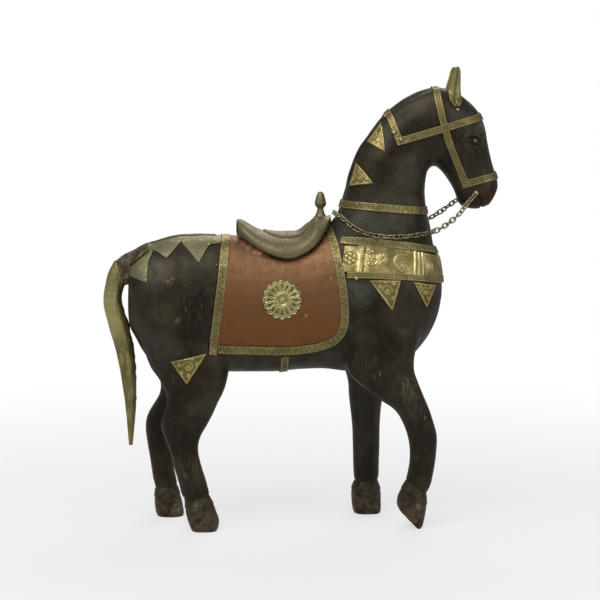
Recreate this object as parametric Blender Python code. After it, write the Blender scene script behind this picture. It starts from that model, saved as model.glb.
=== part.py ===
"""Wooden horse with copper and brass fittings.

Frame: +X toward the head, +Y to the horse's left, +Z up, origin on the floor below the middle of the
whole object. The drawing below is in millimetres and is turned into metres when a mesh is made.
"""
import math

import bmesh
import bpy
import numpy as np
from mathutils import Vector
from mathutils.bvhtree import BVHTree

# Driving sizes in millimetres
MM = 0.001
BLEND_CELL = 2.3
HORSE_TRIANGLES = 2800
LEAST_GAP = 0.32
CLEAR_STEPS = 5
CLEAR_ROUNDS = 6
STRIP_GAP = 0.5
STRIP_THICK = 0.75
SHEET_THICK = 0.6
LAYER_GAP = 0.45
SADDLE_CLEARANCE = 3.4
SADDLE_SHEET = 1.1
CHAIN_PITCH = 5.0
CHAIN_WIDE = 2.6
CHAIN_WIRE = 0.7
CHAIN_CLEARANCE = 4.2
ROSETTE_CENTRE = (-20.8, 229.0)
ROSETTE_RADIUS = 19.6
PETALS = 16
ROSETTE_GAP = 0.75
TAIL_GAP = 0.8
FINIAL_GAP = 1.3

BORDER_GAP = STRIP_GAP + SHEET_THICK + LAYER_GAP
RIGHT = -1
LEFT = 1

for thing in list(bpy.data.objects):
    bpy.data.objects.remove(thing, do_unlink=True)


# Finishes
def finish(name, colour, metallic, roughness):
    material = bpy.data.materials.new(name)
    material.use_nodes = True
    shader = material.node_tree.nodes["Principled BSDF"]
    shader.inputs["Base Color"].default_value = (*colour, 1.0)
    shader.inputs["Metallic"].default_value = metallic
    shader.inputs["Roughness"].default_value = roughness
    return material


DARK_WOOD = ((0.030, 0.022, 0.016), 0.0, 0.55)
STRIP_BRASS = ((0.30, 0.25, 0.11), 1.0, 0.42)
PANEL_BRASS = ((0.62, 0.50, 0.20), 1.0, 0.28)
SADDLE_BRASS = ((0.22, 0.20, 0.12), 1.0, 0.45)
COPPER_SHEET = ((0.36, 0.18, 0.11), 1.0, 0.38)
CHAIN_BRASS = ((0.16, 0.12, 0.08), 1.0, 0.40)


def make_object(name, points, faces, look, smooth=True):
    """One closed solid, its faces turned outwards."""
    mesh = bpy.data.meshes.new(name)
    mesh.from_pydata([Vector(p) * MM for p in points], [], faces)
    body = bmesh.new()
    body.from_mesh(mesh)
    bmesh.ops.triangulate(body, faces=body.faces, quad_method="FIXED", ngon_method="BEAUTY")
    bmesh.ops.recalc_face_normals(body, faces=body.faces)
    body.to_mesh(mesh)
    body.free()
    for face in mesh.polygons:
        face.use_smooth = smooth
    mesh.materials.append(finish(name + " finish", *look))
    solid = bpy.data.objects.new(name, mesh)
    bpy.context.scene.collection.objects.link(solid)
    return solid


# Tubes through pairs of outline points
def tube_mesh(stations, sides, steps=1):
    """Rings between two side-view points each: (x1, z1, x2, z2, y, half width, squareness)."""
    table = np.array(stations, dtype=float)
    count = len(table)
    places = np.linspace(0, count - 1, (count - 1) * steps + 1)
    rows = [curve_row(table, place) for place in places]
    points = []
    for x1, z1, x2, z2, y, half, power in rows:
        centre = Vector(((x1 + x2) / 2, y, (z1 + z2) / 2))
        reach = Vector(((x1 - x2) / 2, 0, (z1 - z2) / 2))
        for k in range(sides):
            turn = 2 * math.pi * k / sides
            along = math.copysign(abs(math.cos(turn)) ** (2 / power), math.cos(turn))
            across = math.copysign(abs(math.sin(turn)) ** (2 / power), math.sin(turn))
            points.append(centre + reach * along + Vector((0, half * across, 0)))
    faces = []
    for row in range(len(rows) - 1):
        for k in range(sides):
            after = (k + 1) % sides
            faces.append((row * sides + k, row * sides + after,
                          (row + 1) * sides + after, (row + 1) * sides + k))
    last = (len(rows) - 1) * sides
    faces.append(tuple(reversed(range(sides))))
    faces.append(tuple(range(last, last + sides)))
    return points, faces


def curve_row(table, place):
    """A Catmull-Rom value between the rows of a table."""
    low = min(int(place), len(table) - 2)
    t = place - low
    p0 = table[max(low - 1, 0)]
    p1 = table[low]
    p2 = table[low + 1]
    p3 = table[min(low + 2, len(table) - 1)]
    return 0.5 * (2 * p1 + (p2 - p0) * t + (2 * p0 - 5 * p1 + 4 * p2 - p3) * t * t
                  + (3 * p1 - p0 - 3 * p2 + p3) * t * t * t)


TORSO = [
    (-171.2, 239, -171.2, 213.5, 0, 13, 2),
    (-169.3, 259.2, -169.6, 199.5, 0, 27, 2.1),
    (-165, 272.2, -164.4, 188.5, 0, 36, 2.2),
    (-154, 279.3, -153.4, 169.5, 0, 43.5, 2.25),
    (-141, 283.2, -141, 158.5, 0, 47.5, 2.25),
    (-122, 288.2, -122, 153.5, 0, 49.5, 2.25),
    (-96, 289.2, -96, 152.5, 0, 48.5, 2.2),
    (-66, 288.2, -66, 152.5, 0, 46.5, 2.2),
    (-30, 285.2, -30, 152.5, 0, 46.5, 2.2),
    (0, 286.7, 0, 154.5, 0, 47, 2.2),
    (24, 293.2, 24, 155, 0, 47.5, 2.2),
    (50, 299.2, 50, 151.5, 0, 48.5, 2.2),
    (80, 300.5, 80, 152.5, 0, 48.5, 2.2),
    (103, 296.5, 103, 159.5, 0, 46, 2.2),
    (119, 290.5, 119, 174.5, 0, 40, 2.1),
    (130, 282.5, 130, 189.5, 0, 31, 2),
    (138, 268.5, 138, 207.5, 0, 20, 2),
    (142, 250.5, 142, 226.5, 0, 9, 2),
]
NECK_AND_HEAD = [
    (8.5, 269.6, 112, 207.5, 0, 38, 2.1),
    (20.5, 288.6, 134, 252.5, 0, 40, 2.1),
    (29.5, 300.6, 131.5, 290.5, 0, 38, 2.1),
    (37.5, 311.6, 127, 312.5, 0, 35, 2.15),
    (44, 332.6, 125, 329.5, 0, 31.5, 2.15),
    (49.5, 352.6, 126, 343.5, 0, 29, 2.1),
    (57.5, 372.1, 127.5, 352.5, 0, 27, 2.1),
    (67.5, 387.1, 130, 355.5, 0, 25, 2.1),
    (83.5, 408.1, 132, 357.5, 0, 23.5, 2.1),
    (106.5, 426.1, 134, 358, 0, 23, 2.1),
    (130.5, 435.6, 135.5, 357.5, 0, 23.5, 2.1),
    (150.5, 433.1, 137, 356.5, 0, 24.5, 2.2),
    (165.4, 424.2, 139.5, 354, 0, 25, 2.25),
    (177.4, 412.2, 143, 350.5, 0, 25, 2.25),
    (184.4, 397.2, 147, 345.5, 0, 24, 2.25),
    (186.7, 382.7, 151, 339, 0, 21, 2.3),
    (189.9, 369.7, 154, 333, 0, 18.5, 2.3),
    (193.4, 356.7, 156.5, 327, 0, 17.5, 2.3),
    (197.4, 346.2, 158.5, 321.5, 0, 17.5, 2.3),
    (198.6, 336.7, 163, 316.8, 0, 17, 2.2),
    (196.4, 328.2, 170, 315.1, 0, 14.5, 2.1),
    (190.9, 320.2, 178, 314.7, 0, 9, 2),
]
NEAR_HIND = [
    (-160, 205, -84, 200, 23, 20, 2.1),
    (-157, 185, -79, 182, 27, 21.5, 2.2),
    (-150, 163, -72.5, 166, 30, 19.5, 2.2),
    (-141.5, 150.5, -73, 154, 33, 17.5, 2.2),
    (-135, 137, -77.5, 138, 36, 16, 2.2),
    (-133.5, 127, -82.5, 128, 37, 15, 2.2),
    (-138, 113, -89, 114, 37, 14, 2.2),
    (-140, 103.5, -95, 103.5, 37, 13.2, 2.2),
    (-136, 92, -101, 92, 37, 12.7, 2.2),
    (-130.5, 76, -103, 79, 37, 12.2, 2.2),
    (-127, 62, -99.5, 63, 37, 12, 2.2),
    (-122, 45, -94.5, 46, 37, 12, 2.2),
    (-119.8, 34, -92.8, 35, 37, 12, 2.3),
    (-118, 30.5, -92.2, 30.5, 37, 11.5, 2.4),
    (-117.2, 26.5, -87.8, 26, 37, 14, 2.6),
    (-115.3, 17, -83.8, 17, 37, 14.8, 2.6),
    (-113.5, 8, -82, 8, 37, 15, 2.6),
    (-110.5, 0, -82.8, 0, 37, 14.5, 2.6),
    (-109.5, -8, -83.5, -8, 37, 14.2, 2.6),
]
NEAR_FORE = [
    (50, 215, 118, 222, 22, 19, 2.1),
    (46, 190, 118, 195, 27, 20, 2.2),
    (43.5, 165, 112, 172, 30, 18.5, 2.2),
    (48, 151.5, 111, 157, 33, 17, 2.2),
    (62, 139, 115, 145, 35.5, 15.5, 2.2),
    (77, 128, 120.5, 131, 37, 14.5, 2.2),
    (91, 118, 125.5, 119.5, 37, 13.8, 2.2),
    (99.5, 105, 130, 106, 37, 13.3, 2.2),
    (105, 89, 134, 90.5, 37, 13.2, 2.2),
    (106.8, 71, 132.8, 71, 37, 12.7, 2.2),
    (105, 55, 130, 55, 37, 12.2, 2.2),
    (101, 43.5, 127.8, 43.5, 37, 12, 2.2),
    (97, 35, 125.5, 35.5, 37, 12, 2.3),
    (96.3, 30.5, 123.8, 31.5, 37, 11.5, 2.4),
    (93.5, 26, 124.3, 27.5, 37, 14, 2.6),
    (93.6, 22.5, 123.3, 17, 37, 14.8, 2.6),
    (94.6, 19.5, 121.5, 6, 37, 15, 2.6),
    (96.3, 17.3, 119, -3.4, 37, 14.3, 2.6),
]
FAR_FORE = [
    (50, 215, 118, 222, 22, 19, 2.1),
    (46, 190, 117, 195, 27, 20, 2.2),
    (44, 166, 112, 172, 30, 18.5, 2.2),
    (48, 150, 105, 156, 33, 17, 2.2),
    (51.5, 136, 97, 140, 35.5, 15.5, 2.2),
    (52.8, 122, 89.5, 125, 37, 14.5, 2.2),
    (54.5, 107, 86, 109, 37, 13.8, 2.2),
    (56, 90, 85, 91, 37, 13, 2.2),
    (56.7, 68, 84.3, 68, 37, 12.4, 2.2),
    (57.3, 50, 84, 50, 37, 12, 2.2),
    (58.3, 35.5, 84, 35.5, 37, 12, 2.3),
    (58.5, 31.5, 83.3, 31.5, 37, 11.5, 2.4),
    (56, 27, 85, 27, 37, 14, 2.6),
    (55.8, 16, 86, 16, 37, 14.8, 2.6),
    (56, 8, 86.3, 8, 37, 15, 2.6),
    (58, 0, 86, 0, 37, 14.5, 2.6),
    (59, -8, 85, -8, 37, 14.2, 2.6),
]
FAR_HIND = [
    (-160, 205, -84, 200, 23, 20, 2.1),
    (-157, 185, -79, 182, 27, 21.5, 2.2),
    (-150, 163, -76, 163, 30, 19.5, 2.2),
    (-143, 148, -84, 148, 33, 17.5, 2.2),
    (-139.5, 135, -94, 134, 36, 16, 2.2),
    (-141.5, 124, -103, 124, 37, 15, 2.2),
    (-149.5, 111.5, -113, 112, 37, 14, 2.2),
    (-154.5, 101, -121, 102, 37, 13.2, 2.2),
    (-155.5, 89, -126.5, 90, 37, 12.7, 2.2),
    (-153.5, 74, -128.5, 75, 37, 12.2, 2.2),
    (-151, 60, -127.5, 60, 37, 12, 2.2),
    (-149, 45, -125.5, 45, 37, 12, 2.2),
    (-147.5, 35, -124, 35, 37, 12, 2.3),
    (-146.3, 31, -123.5, 31, 37, 11.5, 2.4),
    (-147, 27, -121.5, 27, 37, 14, 2.6),
    (-146.5, 16, -119, 16, 37, 14.8, 2.6),
    (-146, 8, -117.3, 8, 37, 15, 2.6),
    (-144.5, 0, -116.3, 0, 37, 14.5, 2.6),
    (-143.5, -8, -117, -8, 37, 14.2, 2.6),
]


def on_side(stations, side):
    """The stations of a leg, set to one side of the horse."""
    return [(x1, z1, x2, z2, side * y, half, power) for x1, z1, x2, z2, y, half, power in stations]


def carve_horse():
    """Blend torso, neck, head and legs into one body, then thin its mesh out."""
    points = []
    faces = []
    tubes = [TORSO, NECK_AND_HEAD, on_side(NEAR_HIND, RIGHT), on_side(NEAR_FORE, RIGHT),
             on_side(FAR_FORE, LEFT), on_side(FAR_HIND, LEFT)]
    for stations in tubes:
        more_points, more_faces = tube_mesh(stations, sides=32, steps=3)
        start = len(points)
        points += more_points
        faces += [tuple(index + start for index in face) for face in more_faces]
    horse = make_object("horse", points, faces, DARK_WOOD)
    blend = horse.modifiers.new("blend", "REMESH")
    blend.mode = "VOXEL"
    blend.voxel_size = BLEND_CELL * MM
    blend.use_smooth_shade = True
    soften = horse.modifiers.new("soften", "SMOOTH")
    soften.factor = 0.5
    soften.iterations = 5
    dense = surface_of(horse)
    thin = horse.modifiers.new("thin", "DECIMATE")
    thin.ratio = HORSE_TRIANGLES / triangle_count(horse)
    thin.use_collapse_triangulate = True
    settle(horse)
    level_soles(horse)
    return horse, dense


def evaluated_mesh(solid):
    bpy.context.view_layer.update()
    graph = bpy.context.evaluated_depsgraph_get()
    return bpy.data.meshes.new_from_object(solid.evaluated_get(graph), depsgraph=graph)


def surface_of(solid):
    """A search tree over the solid, in millimetres."""
    mesh = evaluated_mesh(solid)
    points = [vertex.co / MM for vertex in mesh.vertices]
    faces = [tuple(face.vertices) for face in mesh.polygons]
    bpy.data.meshes.remove(mesh)
    return BVHTree.FromPolygons(points, faces)


def triangle_count(solid):
    mesh = evaluated_mesh(solid)
    count = sum(len(face.vertices) - 2 for face in mesh.polygons)
    bpy.data.meshes.remove(mesh)
    return count


def settle(solid):
    """Turn the modifiers' result into the solid's own mesh."""
    mesh = evaluated_mesh(solid)
    old = solid.data
    solid.modifiers.clear()
    solid.data = mesh
    bpy.data.meshes.remove(old)
    mesh.name = solid.name


def level_soles(horse):
    """Cut the hooves flat at floor level."""
    body = bmesh.new()
    body.from_mesh(horse.data)
    cut = bmesh.ops.bisect_plane(body, geom=body.verts[:] + body.edges[:] + body.faces[:],
                                 dist=1e-6, plane_co=(0, 0, 0), plane_no=(0, 0, -1), clear_outer=True)
    rim = [item for item in cut["geom_cut"] if isinstance(item, bmesh.types.BMEdge)]
    bmesh.ops.edgenet_fill(body, edges=rim)
    bmesh.ops.remove_doubles(body, verts=body.verts, dist=0.05 * MM)
    bmesh.ops.recalc_face_normals(body, faces=body.faces)
    bmesh.ops.triangulate(body, faces=[face for face in body.faces if len(face.verts) > 3])
    body.to_mesh(horse.data)
    body.free()


horse, dense = carve_horse()
skin = surface_of(horse)


# Finding places on the horse
def outward(point):
    """The smooth outward direction of the horse near a point."""
    return dense.find_nearest(point)[1].normalized()


def side_hit(x, z, side, surface=None):
    """The place on the flank that is seen at (x, z) from one side."""
    found = (surface or skin).ray_cast(Vector((x, side * 150, z)), Vector((0, -side, 0)), 150)
    return found[0]


def sweep(a, b, centre_share, reach, surface=None):
    """A function from an angle to a place on the section through the side-view points a and b.

    Angle 0 looks toward a, -90 to the right side, 90 to the left side.
    """
    toward = Vector((a[0] - b[0], 0, a[1] - b[1]))
    centre = Vector((b[0], 0, b[1])) + toward * centre_share
    toward.normalize()

    def place(angle):
        turn = math.radians(angle)
        way = toward * math.cos(turn) + Vector((0, math.sin(turn), 0))
        found = (surface or skin).ray_cast(centre + way * reach, -way, reach)
        return found[0]

    place.toward = toward
    place.centre = centre
    return place


def angle_at(place, point):
    """The angle at which a section passes the side-view point."""
    goal = (Vector((point[0], 0, point[1])) - place.centre).dot(place.toward)
    low = 3.0
    high = 177.0
    for _ in range(40):
        middle = (low + high) / 2
        if (place(middle) - place.centre).dot(place.toward) > goal:
            low = middle
        else:
            high = middle
    return (low + high) / 2


def spread(points, count, turn_weight=9.0):
    """Points along a line, closer together where the horse curves more."""
    metric = [0.0]
    for before, after in zip(points, points[1:]):
        bend = outward(before).angle(outward(after))
        metric.append(metric[-1] + (after - before).length + turn_weight * bend)
    goals = np.linspace(0, metric[-1], count)
    table = np.array([tuple(point) for point in points])
    return [Vector([float(np.interp(goal, metric, table[:, axis])) for axis in range(3)])
            for goal in goals]


def section_line(a, b, end, count, centre_share=0.5, reach=90.0):
    """From the right-hand end over a to the left-hand end, both at the side-view point end."""
    place = sweep(a, b, centre_share, reach)
    limit = angle_at(place, end)
    fine = [place(angle) for angle in np.linspace(-limit, limit, 160)]
    return spread(fine, count)


def closed_line(a, b, count, reach=90.0):
    place = sweep(a, b, 0.5, reach)
    fine = [place(angle) for angle in np.linspace(-180, 180, 240)]
    return spread(fine, count + 1)[:-1]


def cell_samples():
    """Corner shares for places inside a four-cornered cell and on both of its diagonals."""
    steps = [step / CLEAR_STEPS for step in range(CLEAR_STEPS + 1)]
    samples = [((1 - u) * (1 - v), (1 - u) * v, u * (1 - v), u * v) for u in steps for v in steps]
    samples += [(1 - t, 0, 0, t) for t in steps]
    samples += [(0, 1 - t, t, 0) for t in steps]
    return samples


def clear(inner, ways, others, closed=False):
    """Push a sheet's inner places outward until its cells clear everything under them."""
    rows = len(inner)
    columns = len(inner[0])
    samples = cell_samples()
    for _ in range(CLEAR_ROUNDS):
        push = [[0.0] * columns for _ in inner]
        for r in range(rows if closed else rows - 1):
            after = (r + 1) % rows
            for c in range(columns - 1):
                cell = ((r, c), (r, c + 1), (after, c), (after, c + 1))
                for shares in samples:
                    spot = Vector()
                    way = Vector()
                    for (row, column), share in zip(cell, shares):
                        spot += inner[row][column] * share
                        way += ways[row][column] * share
                    lack = shortfall(spot, way.normalized(), others)
                    for (row, column), share in zip(cell, shares):
                        if share > 0:
                            push[row][column] = max(push[row][column], lack)
        for r in range(rows):
            for c in range(columns):
                inner[r][c] = inner[r][c] + ways[r][c] * push[r][c]


def shortfall(spot, way, others):
    """How much further out a place must go to stand clear of the surfaces below it."""
    lack = 0.0
    for surface in others:
        found = surface.ray_cast(spot + way * 6, -way, 12)[0]
        if found:
            lack = max(lack, LEAST_GAP - (spot - found).dot(way))
    return lack


def layered(name, feet, ways, gap, thick, look, closed=False, others=()):
    """A sheet that follows its foot places: the gap is one number or one per row."""
    gaps = gap if isinstance(gap, list) else [gap] * len(feet)
    inner = [[foot + way * gaps[r] for foot, way in zip(feet[r], ways[r])] for r in range(len(feet))]
    clear(inner, ways, (skin,) + tuple(others), closed)
    outer = [[foot + way * thick for foot, way in zip(inner[r], ways[r])] for r in range(len(feet))]
    return sheet_solid(name, outer, inner, look, closed)


# Thin solids made of an outer and an inner sheet of points
def sheet_solid(name, outer, inner, look, closed=False):
    rows = len(outer)
    columns = len(outer[0])
    points = [point for row in outer for point in row] + [point for row in inner for point in row]
    inside = rows * columns
    faces = []
    last_row = rows if closed else rows - 1
    for r in range(last_row):
        after = (r + 1) % rows
        for c in range(columns - 1):
            corner = (r * columns + c, r * columns + c + 1, after * columns + c + 1, after * columns + c)
            faces.append(corner)
            faces.append(tuple(index + inside for index in reversed(corner)))
        for c in (0, columns - 1):
            faces.append((r * columns + c, after * columns + c,
                          after * columns + c + inside, r * columns + c + inside))
    if not closed:
        for r in (0, rows - 1):
            for c in range(columns - 1):
                faces.append((r * columns + c, r * columns + c + 1,
                              r * columns + c + 1 + inside, r * columns + c + inside))
    return make_object(name, points, faces, look)


def strip(name, line, width, look, gap=STRIP_GAP, thick=STRIP_THICK, across=2, closed=False, shift=0.0,
          others=()):
    """A strip of sheet metal that follows a line of places on the horse.

    Width, shift and gap may be numbers or lists with one value per place.
    """
    count = len(line)
    widths = width if isinstance(width, list) else [width] * count
    shifts = shift if isinstance(shift, list) else [shift] * count
    feet = []
    ways = []
    for k, point in enumerate(line):
        if closed:
            along = line[(k + 1) % count] - line[k - 1]
        else:
            along = line[min(k + 1, count - 1)] - line[max(k - 1, 0)]
        up = outward(point)
        beside = along.cross(up).normalized()
        up = beside.cross(along).normalized()
        if up.dot(outward(point)) < 0:
            up = -up
        row = []
        for c in range(across):
            reach = (c / (across - 1) - 0.5) * widths[k] + shifts[k]
            over = point + beside * reach + up * 14
            found = skin.ray_cast(over, -up, 28)[0]
            row.append(found if found else point + beside * reach)
        feet.append(row)
        ways.append([outward(foot) for foot in row])
    return layered(name, feet, ways, gap, thick, look, closed, others)


def side_plate(name, corners, side, look, rows=4, columns=3, tip=0.06):
    """A triangular plate: two base corners and a tip, given in the side view."""
    (x1, z1), (x2, z2), (x3, z3) = corners
    feet = []
    for r in range(rows):
        t = r / (rows - 1) * (1 - tip)
        row = []
        for c in range(columns):
            s = c / (columns - 1)
            x = (x1 + (x2 - x1) * s) * (1 - t) + x3 * t
            z = (z1 + (z2 - z1) * s) * (1 - t) + z3 * t
            row.append(side_hit(x, z, side))
        feet.append(row)
    ways = [[outward(foot) for foot in row] for row in feet]
    return layered(name, feet, ways, STRIP_GAP, SHEET_THICK, look)


def both_sides(name, corners, look, **sizes):
    for side, word in ((RIGHT, "right"), (LEFT, "left")):
        side_plate(name + "_" + word, corners, side, look, **sizes)


# Saddle cloth: slanted columns over the back, with a rounded lower front corner
CLOTH_FOOT = [(-92.2, 177.8), (-74, 177), (-52, 176.2), (-28, 175.6), (-6, 175.8), (13, 178.4),
              (26.4, 182.2), (35.8, 187.6), (40.4, 195.8), (42.8, 206), (43.2, 225)]
CLOTH_TOP = [-75.8, -64, -48, -30, -13, 1, 10, 17, 22, 26, 29.6]
CLOTH_ROWS = 20


def saddle_cloth():
    feet = []
    for (foot_x, foot_z), top_x in zip(CLOTH_FOOT, CLOTH_TOP):
        feet.append(section_line((top_x, 297), (foot_x, foot_z), (foot_x, foot_z), CLOTH_ROWS, 0.36, 110))
    ways = [[outward(foot) for foot in row] for row in feet]
    return layered("saddle_cloth", feet, ways, STRIP_GAP, SHEET_THICK, COPPER_SHEET)


cloth_skin = surface_of(saddle_cloth())

rear_line = section_line((-73.4, 295), (-89.6, 174.4), (-89.6, 175.6), 25, 0.36, 110)
strip("cloth_border_rear", rear_line, 8.2, STRIP_BRASS, gap=BORDER_GAP, others=[cloth_skin])

BORDER_FOOT = [(-83.4, 180.3), (-62, 179.6), (-40, 178.8), (-19, 178.3), (-2, 179.3), (13, 181.5),
               (24.6, 185.2), (33, 190.4), (38, 197.4), (40.3, 205.5), (40.8, 215.5), (39.9, 230),
               (38.2, 243)]


def front_border_line():
    near = []
    table = np.array(BORDER_FOOT, dtype=float)
    for place in np.linspace(0, len(table) - 1, 17):
        x, z = curve_row(table, place)
        near.append(side_hit(x, z, RIGHT))
    over = section_line((27.6, 303), (37.0, 252), (37.0, 252), 17, 0.1, 90)
    far = [side_hit(point.x, point.z, LEFT) for point in reversed(near)]
    return near + over + far


def border_widths(line):
    """Wider along the bottom than up the front."""
    return [float(np.interp(point.z, (179, 196), (9.2, 7.8))) for point in line]


border_line = front_border_line()
strip("cloth_border_front", border_line, border_widths(border_line), STRIP_BRASS, gap=BORDER_GAP,
      others=[cloth_skin])

# Strap under the belly, between the cloth borders
strip("girth_strap", section_line((-17.3, 152), (-17.3, 285), (-17.3, 172.2), 15, 0.5, 90), 7.6, STRIP_BRASS)


# Rosettes on the cloth
def rosette(name, side):
    levels = [(0.0, 3.1), (0.30, 1.6), (0.42, 2.2), (0.88, 1.7), (1.0, 0.9)]
    feet = [0.0, 0.5, 1.0]
    spokes = 24
    outer = []
    inner = []
    for share, height in levels:
        outer.append([rosette_point(side, share, k, spokes, height) for k in range(spokes)])
    for share in feet:
        inner.append([rosette_point(side, share, k, spokes, 0.0) for k in range(spokes)])
    points = [outer[0][0], inner[0][0]]
    faces = []

    def add_rings(rings, pole):
        start = len(points)
        for ring in rings:
            points.extend(ring)
        for k in range(spokes):
            after = (k + 1) % spokes
            faces.append((pole, start + k, start + after))
            for r in range(len(rings) - 1):
                low = start + r * spokes
                faces.append((low + k, low + spokes + k, low + spokes + after, low + after))
        return start + (len(rings) - 1) * spokes

    top_rim = add_rings(outer[1:], 0)
    foot_rim = add_rings(inner[1:], 1)
    for k in range(spokes):
        after = (k + 1) % spokes
        faces.append((top_rim + k, top_rim + after, foot_rim + after, foot_rim + k))
    make_object(name, points, faces, PANEL_BRASS)


def rosette_point(side, share, k, spokes, height):
    """A place over the cloth; the foot of the rosette stands a layer's gap off it."""
    turn = 2 * math.pi * k / spokes
    scallop = 0.93 if k % 2 and share > 0.8 else 1.0
    reach = ROSETTE_RADIUS * share * scallop
    x = ROSETTE_CENTRE[0] + reach * math.cos(turn)
    z = ROSETTE_CENTRE[1] + reach * math.sin(turn)
    foot = side_hit(x, z, side, cloth_skin)
    return foot + outward(foot) * (height + ROSETTE_GAP)


rosette("rosette_right", RIGHT)
rosette("rosette_left", LEFT)

# Saddle: x, height of the skirt edge, half width at that edge, height of the crest line
SADDLE = [
    (-62.8, 292.6, 20.0, 305.0),
    (-57.5, 289.4, 26.0, 304.8),
    (-50.0, 284.0, 31.5, 300.4),
    (-42.0, 278.6, 35.5, 296.0),
    (-32.0, 273.8, 39.0, 292.6),
    (-21.0, 270.2, 41.0, 291.2),
    (-11.0, 269.6, 41.0, 291.4),
    (-1.5, 272.8, 39.5, 292.4),
    (7.5, 277.8, 37.0, 299.6),
    (14.0, 283.0, 34.0, 306.6),
    (20.5, 291.0, 28.0, 307.4),
    (26.0, 300.8, 20.0, 308.0),
    (30.2, 306.6, 11.0, 309.0),
]
SADDLE_SPANS = 10


def near_skin(spot):
    return skin.find_nearest(spot)[3]


def saddle_shell():
    """The outer sheet is drawn; the underside stays clear of the cloth and its borders."""
    outer = []
    inner = []
    for x, edge, half, crest in SADDLE:
        outer_row = []
        inner_row = []
        for k in range(SADDLE_SPANS + 1):
            turn = math.pi * k / SADDLE_SPANS
            point = Vector((x, -half * math.cos(turn), edge + (crest - edge) * math.sin(turn) ** 0.85))
            way = (Vector((x, 0, 232)) - point).normalized()
            found = skin.ray_cast(point, way, 90)[0]
            room = (found - point).length - SADDLE_CLEARANCE
            rim = min(k, SADDLE_SPANS - k)
            most = (1.5, 4.5, 9.0)[rim] if rim < 3 else 30.0
            depth = min(room, most)
            while depth > SADDLE_SHEET and near_skin(point + way * depth) < SADDLE_CLEARANCE:
                depth -= 0.25
            outer_row.append(point)
            inner_row.append(point + way * max(depth, SADDLE_SHEET))
        outer.append(outer_row)
        inner.append(inner_row)
    return sheet_solid("saddle", outer, inner, SADDLE_BRASS)


saddle = saddle_shell()
saddle_skin = surface_of(saddle)


def saddle_seat():
    """An oval panel that lies on the saddle."""
    spokes = 16
    rings = (0.0, 0.45, 0.82, 1.0)
    heights = (1.6, 1.6, 1.5, 0.9)
    rows = []
    for lift in (True, False):
        for share, height in zip(rings, heights):
            ring = []
            for k in range(spokes):
                turn = 2 * math.pi * k / spokes
                x = -13.5 + 23.5 * share * math.cos(turn)
                y = 23.0 * share * math.sin(turn)
                foot = saddle_skin.ray_cast(Vector((x, y, 340)), Vector((0, 0, -1)), 100)
                way = (foot[1] + Vector((0, 0, 1))).normalized()
                ring.append(foot[0] + way * (LAYER_GAP + (height if lift else 0)))
            rows.append(ring)
    points = [rows[0][0], rows[4][0]]
    for ring in rows[1:4] + rows[5:8]:
        points.extend(ring)
    faces = []
    for k in range(spokes):
        after = (k + 1) % spokes
        for pole, start in ((0, 2), (1, 2 + 3 * spokes)):
            faces.append((pole, start + k, start + after))
            for r in range(2):
                low = start + r * spokes
                faces.append((low + k, low + spokes + k, low + spokes + after, low + after))
        top_rim = 2 + 2 * spokes
        foot_rim = 2 + 5 * spokes
        faces.append((top_rim + k, top_rim + after, foot_rim + after, foot_rim + k))
    make_object("saddle_seat", points, faces, SADDLE_BRASS)


saddle_seat()


def turned(name, profile, centre, look, sides=8):
    """A turned piece: (radius, height) pairs from the foot to the tip."""
    points = []
    for radius, height in profile:
        for k in range(sides):
            turn = 2 * math.pi * k / sides
            points.append(centre + Vector((radius * math.cos(turn), radius * math.sin(turn), height)))
    faces = [tuple(range(sides))]
    for r in range(len(profile) - 1):
        for k in range(sides):
            after = (k + 1) % sides
            faces.append((r * sides + k, r * sides + after, (r + 1) * sides + after, (r + 1) * sides + k))
    last = (len(profile) - 1) * sides
    faces.append(tuple(range(last, last + sides)))
    return make_object(name, points, faces, look)


FINIAL = [(6.4, 0.0), (4.9, 2.4), (3.4, 6.6), (3.2, 9.0), (5.5, 12.2), (5.6, 14.0), (4.7, 18.6),
          (3.0, 23.4), (1.5, 25.2)]
finial_foot = saddle_skin.ray_cast(Vector((20.4, 0, 340)), Vector((0, 0, -1)), 100)[0]
turned("pommel_finial", FINIAL, finial_foot + Vector((0, 0, FINIAL_GAP)), SADDLE_BRASS)

# Breast band: two strips with an embossed panel between them
def sag(line, table):
    """Sideways shifts along a line, read from pairs of x and shift; minus is upward."""
    places = [pair[0] for pair in table]
    amounts = [pair[1] for pair in table]
    return [float(np.interp(point.x, places, amounts)) for point in line]


upper_line = section_line((134.5, 273.7), (38.6, 285.3), (38.8, 285.2), 25, 0.45, 90)
lower_line = section_line((138, 245.4), (42.3, 252.4), (42.6, 252.4), 25, 0.42, 90)
panel_line = section_line((138, 258.6), (40.5, 268.6), (40.8, 268.5), 25, 0.42, 90)
strip("breast_band_upper", upper_line, 7.4, STRIP_BRASS,
      shift=sag(upper_line, ((38, 0), (60, -2.4), (80, -2.9), (108, -2.7), (122, -1.7), (134, 0))))
strip("breast_band_lower", lower_line, 5.9, STRIP_BRASS,
      shift=sag(lower_line, ((42, 0), (60, -1.4), (80, -1.8), (107, -2.0), (121, -1.5), (137, 0))))
panel_widths = sag(panel_line, ((40, 24.6), (80, 24.6), (108, 22.4), (122, 21), (136, 20.2)))
strip("breast_panel", panel_line, panel_widths, PANEL_BRASS, thick=SHEET_THICK, across=3,
      shift=sag(panel_line, ((41, 0), (60, -1.8), (80, -2.3), (108, -2.3), (122, -1.5), (136, 0))))
both_sides("breast_point_rear", ((64.6, 247.6), (95.6, 247.2), (87.5, 217.0)), PANEL_BRASS)
both_sides("breast_point_front", ((108, 245.4), (132.6, 241.4), (122.2, 218.7)), PANEL_BRASS)

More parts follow.
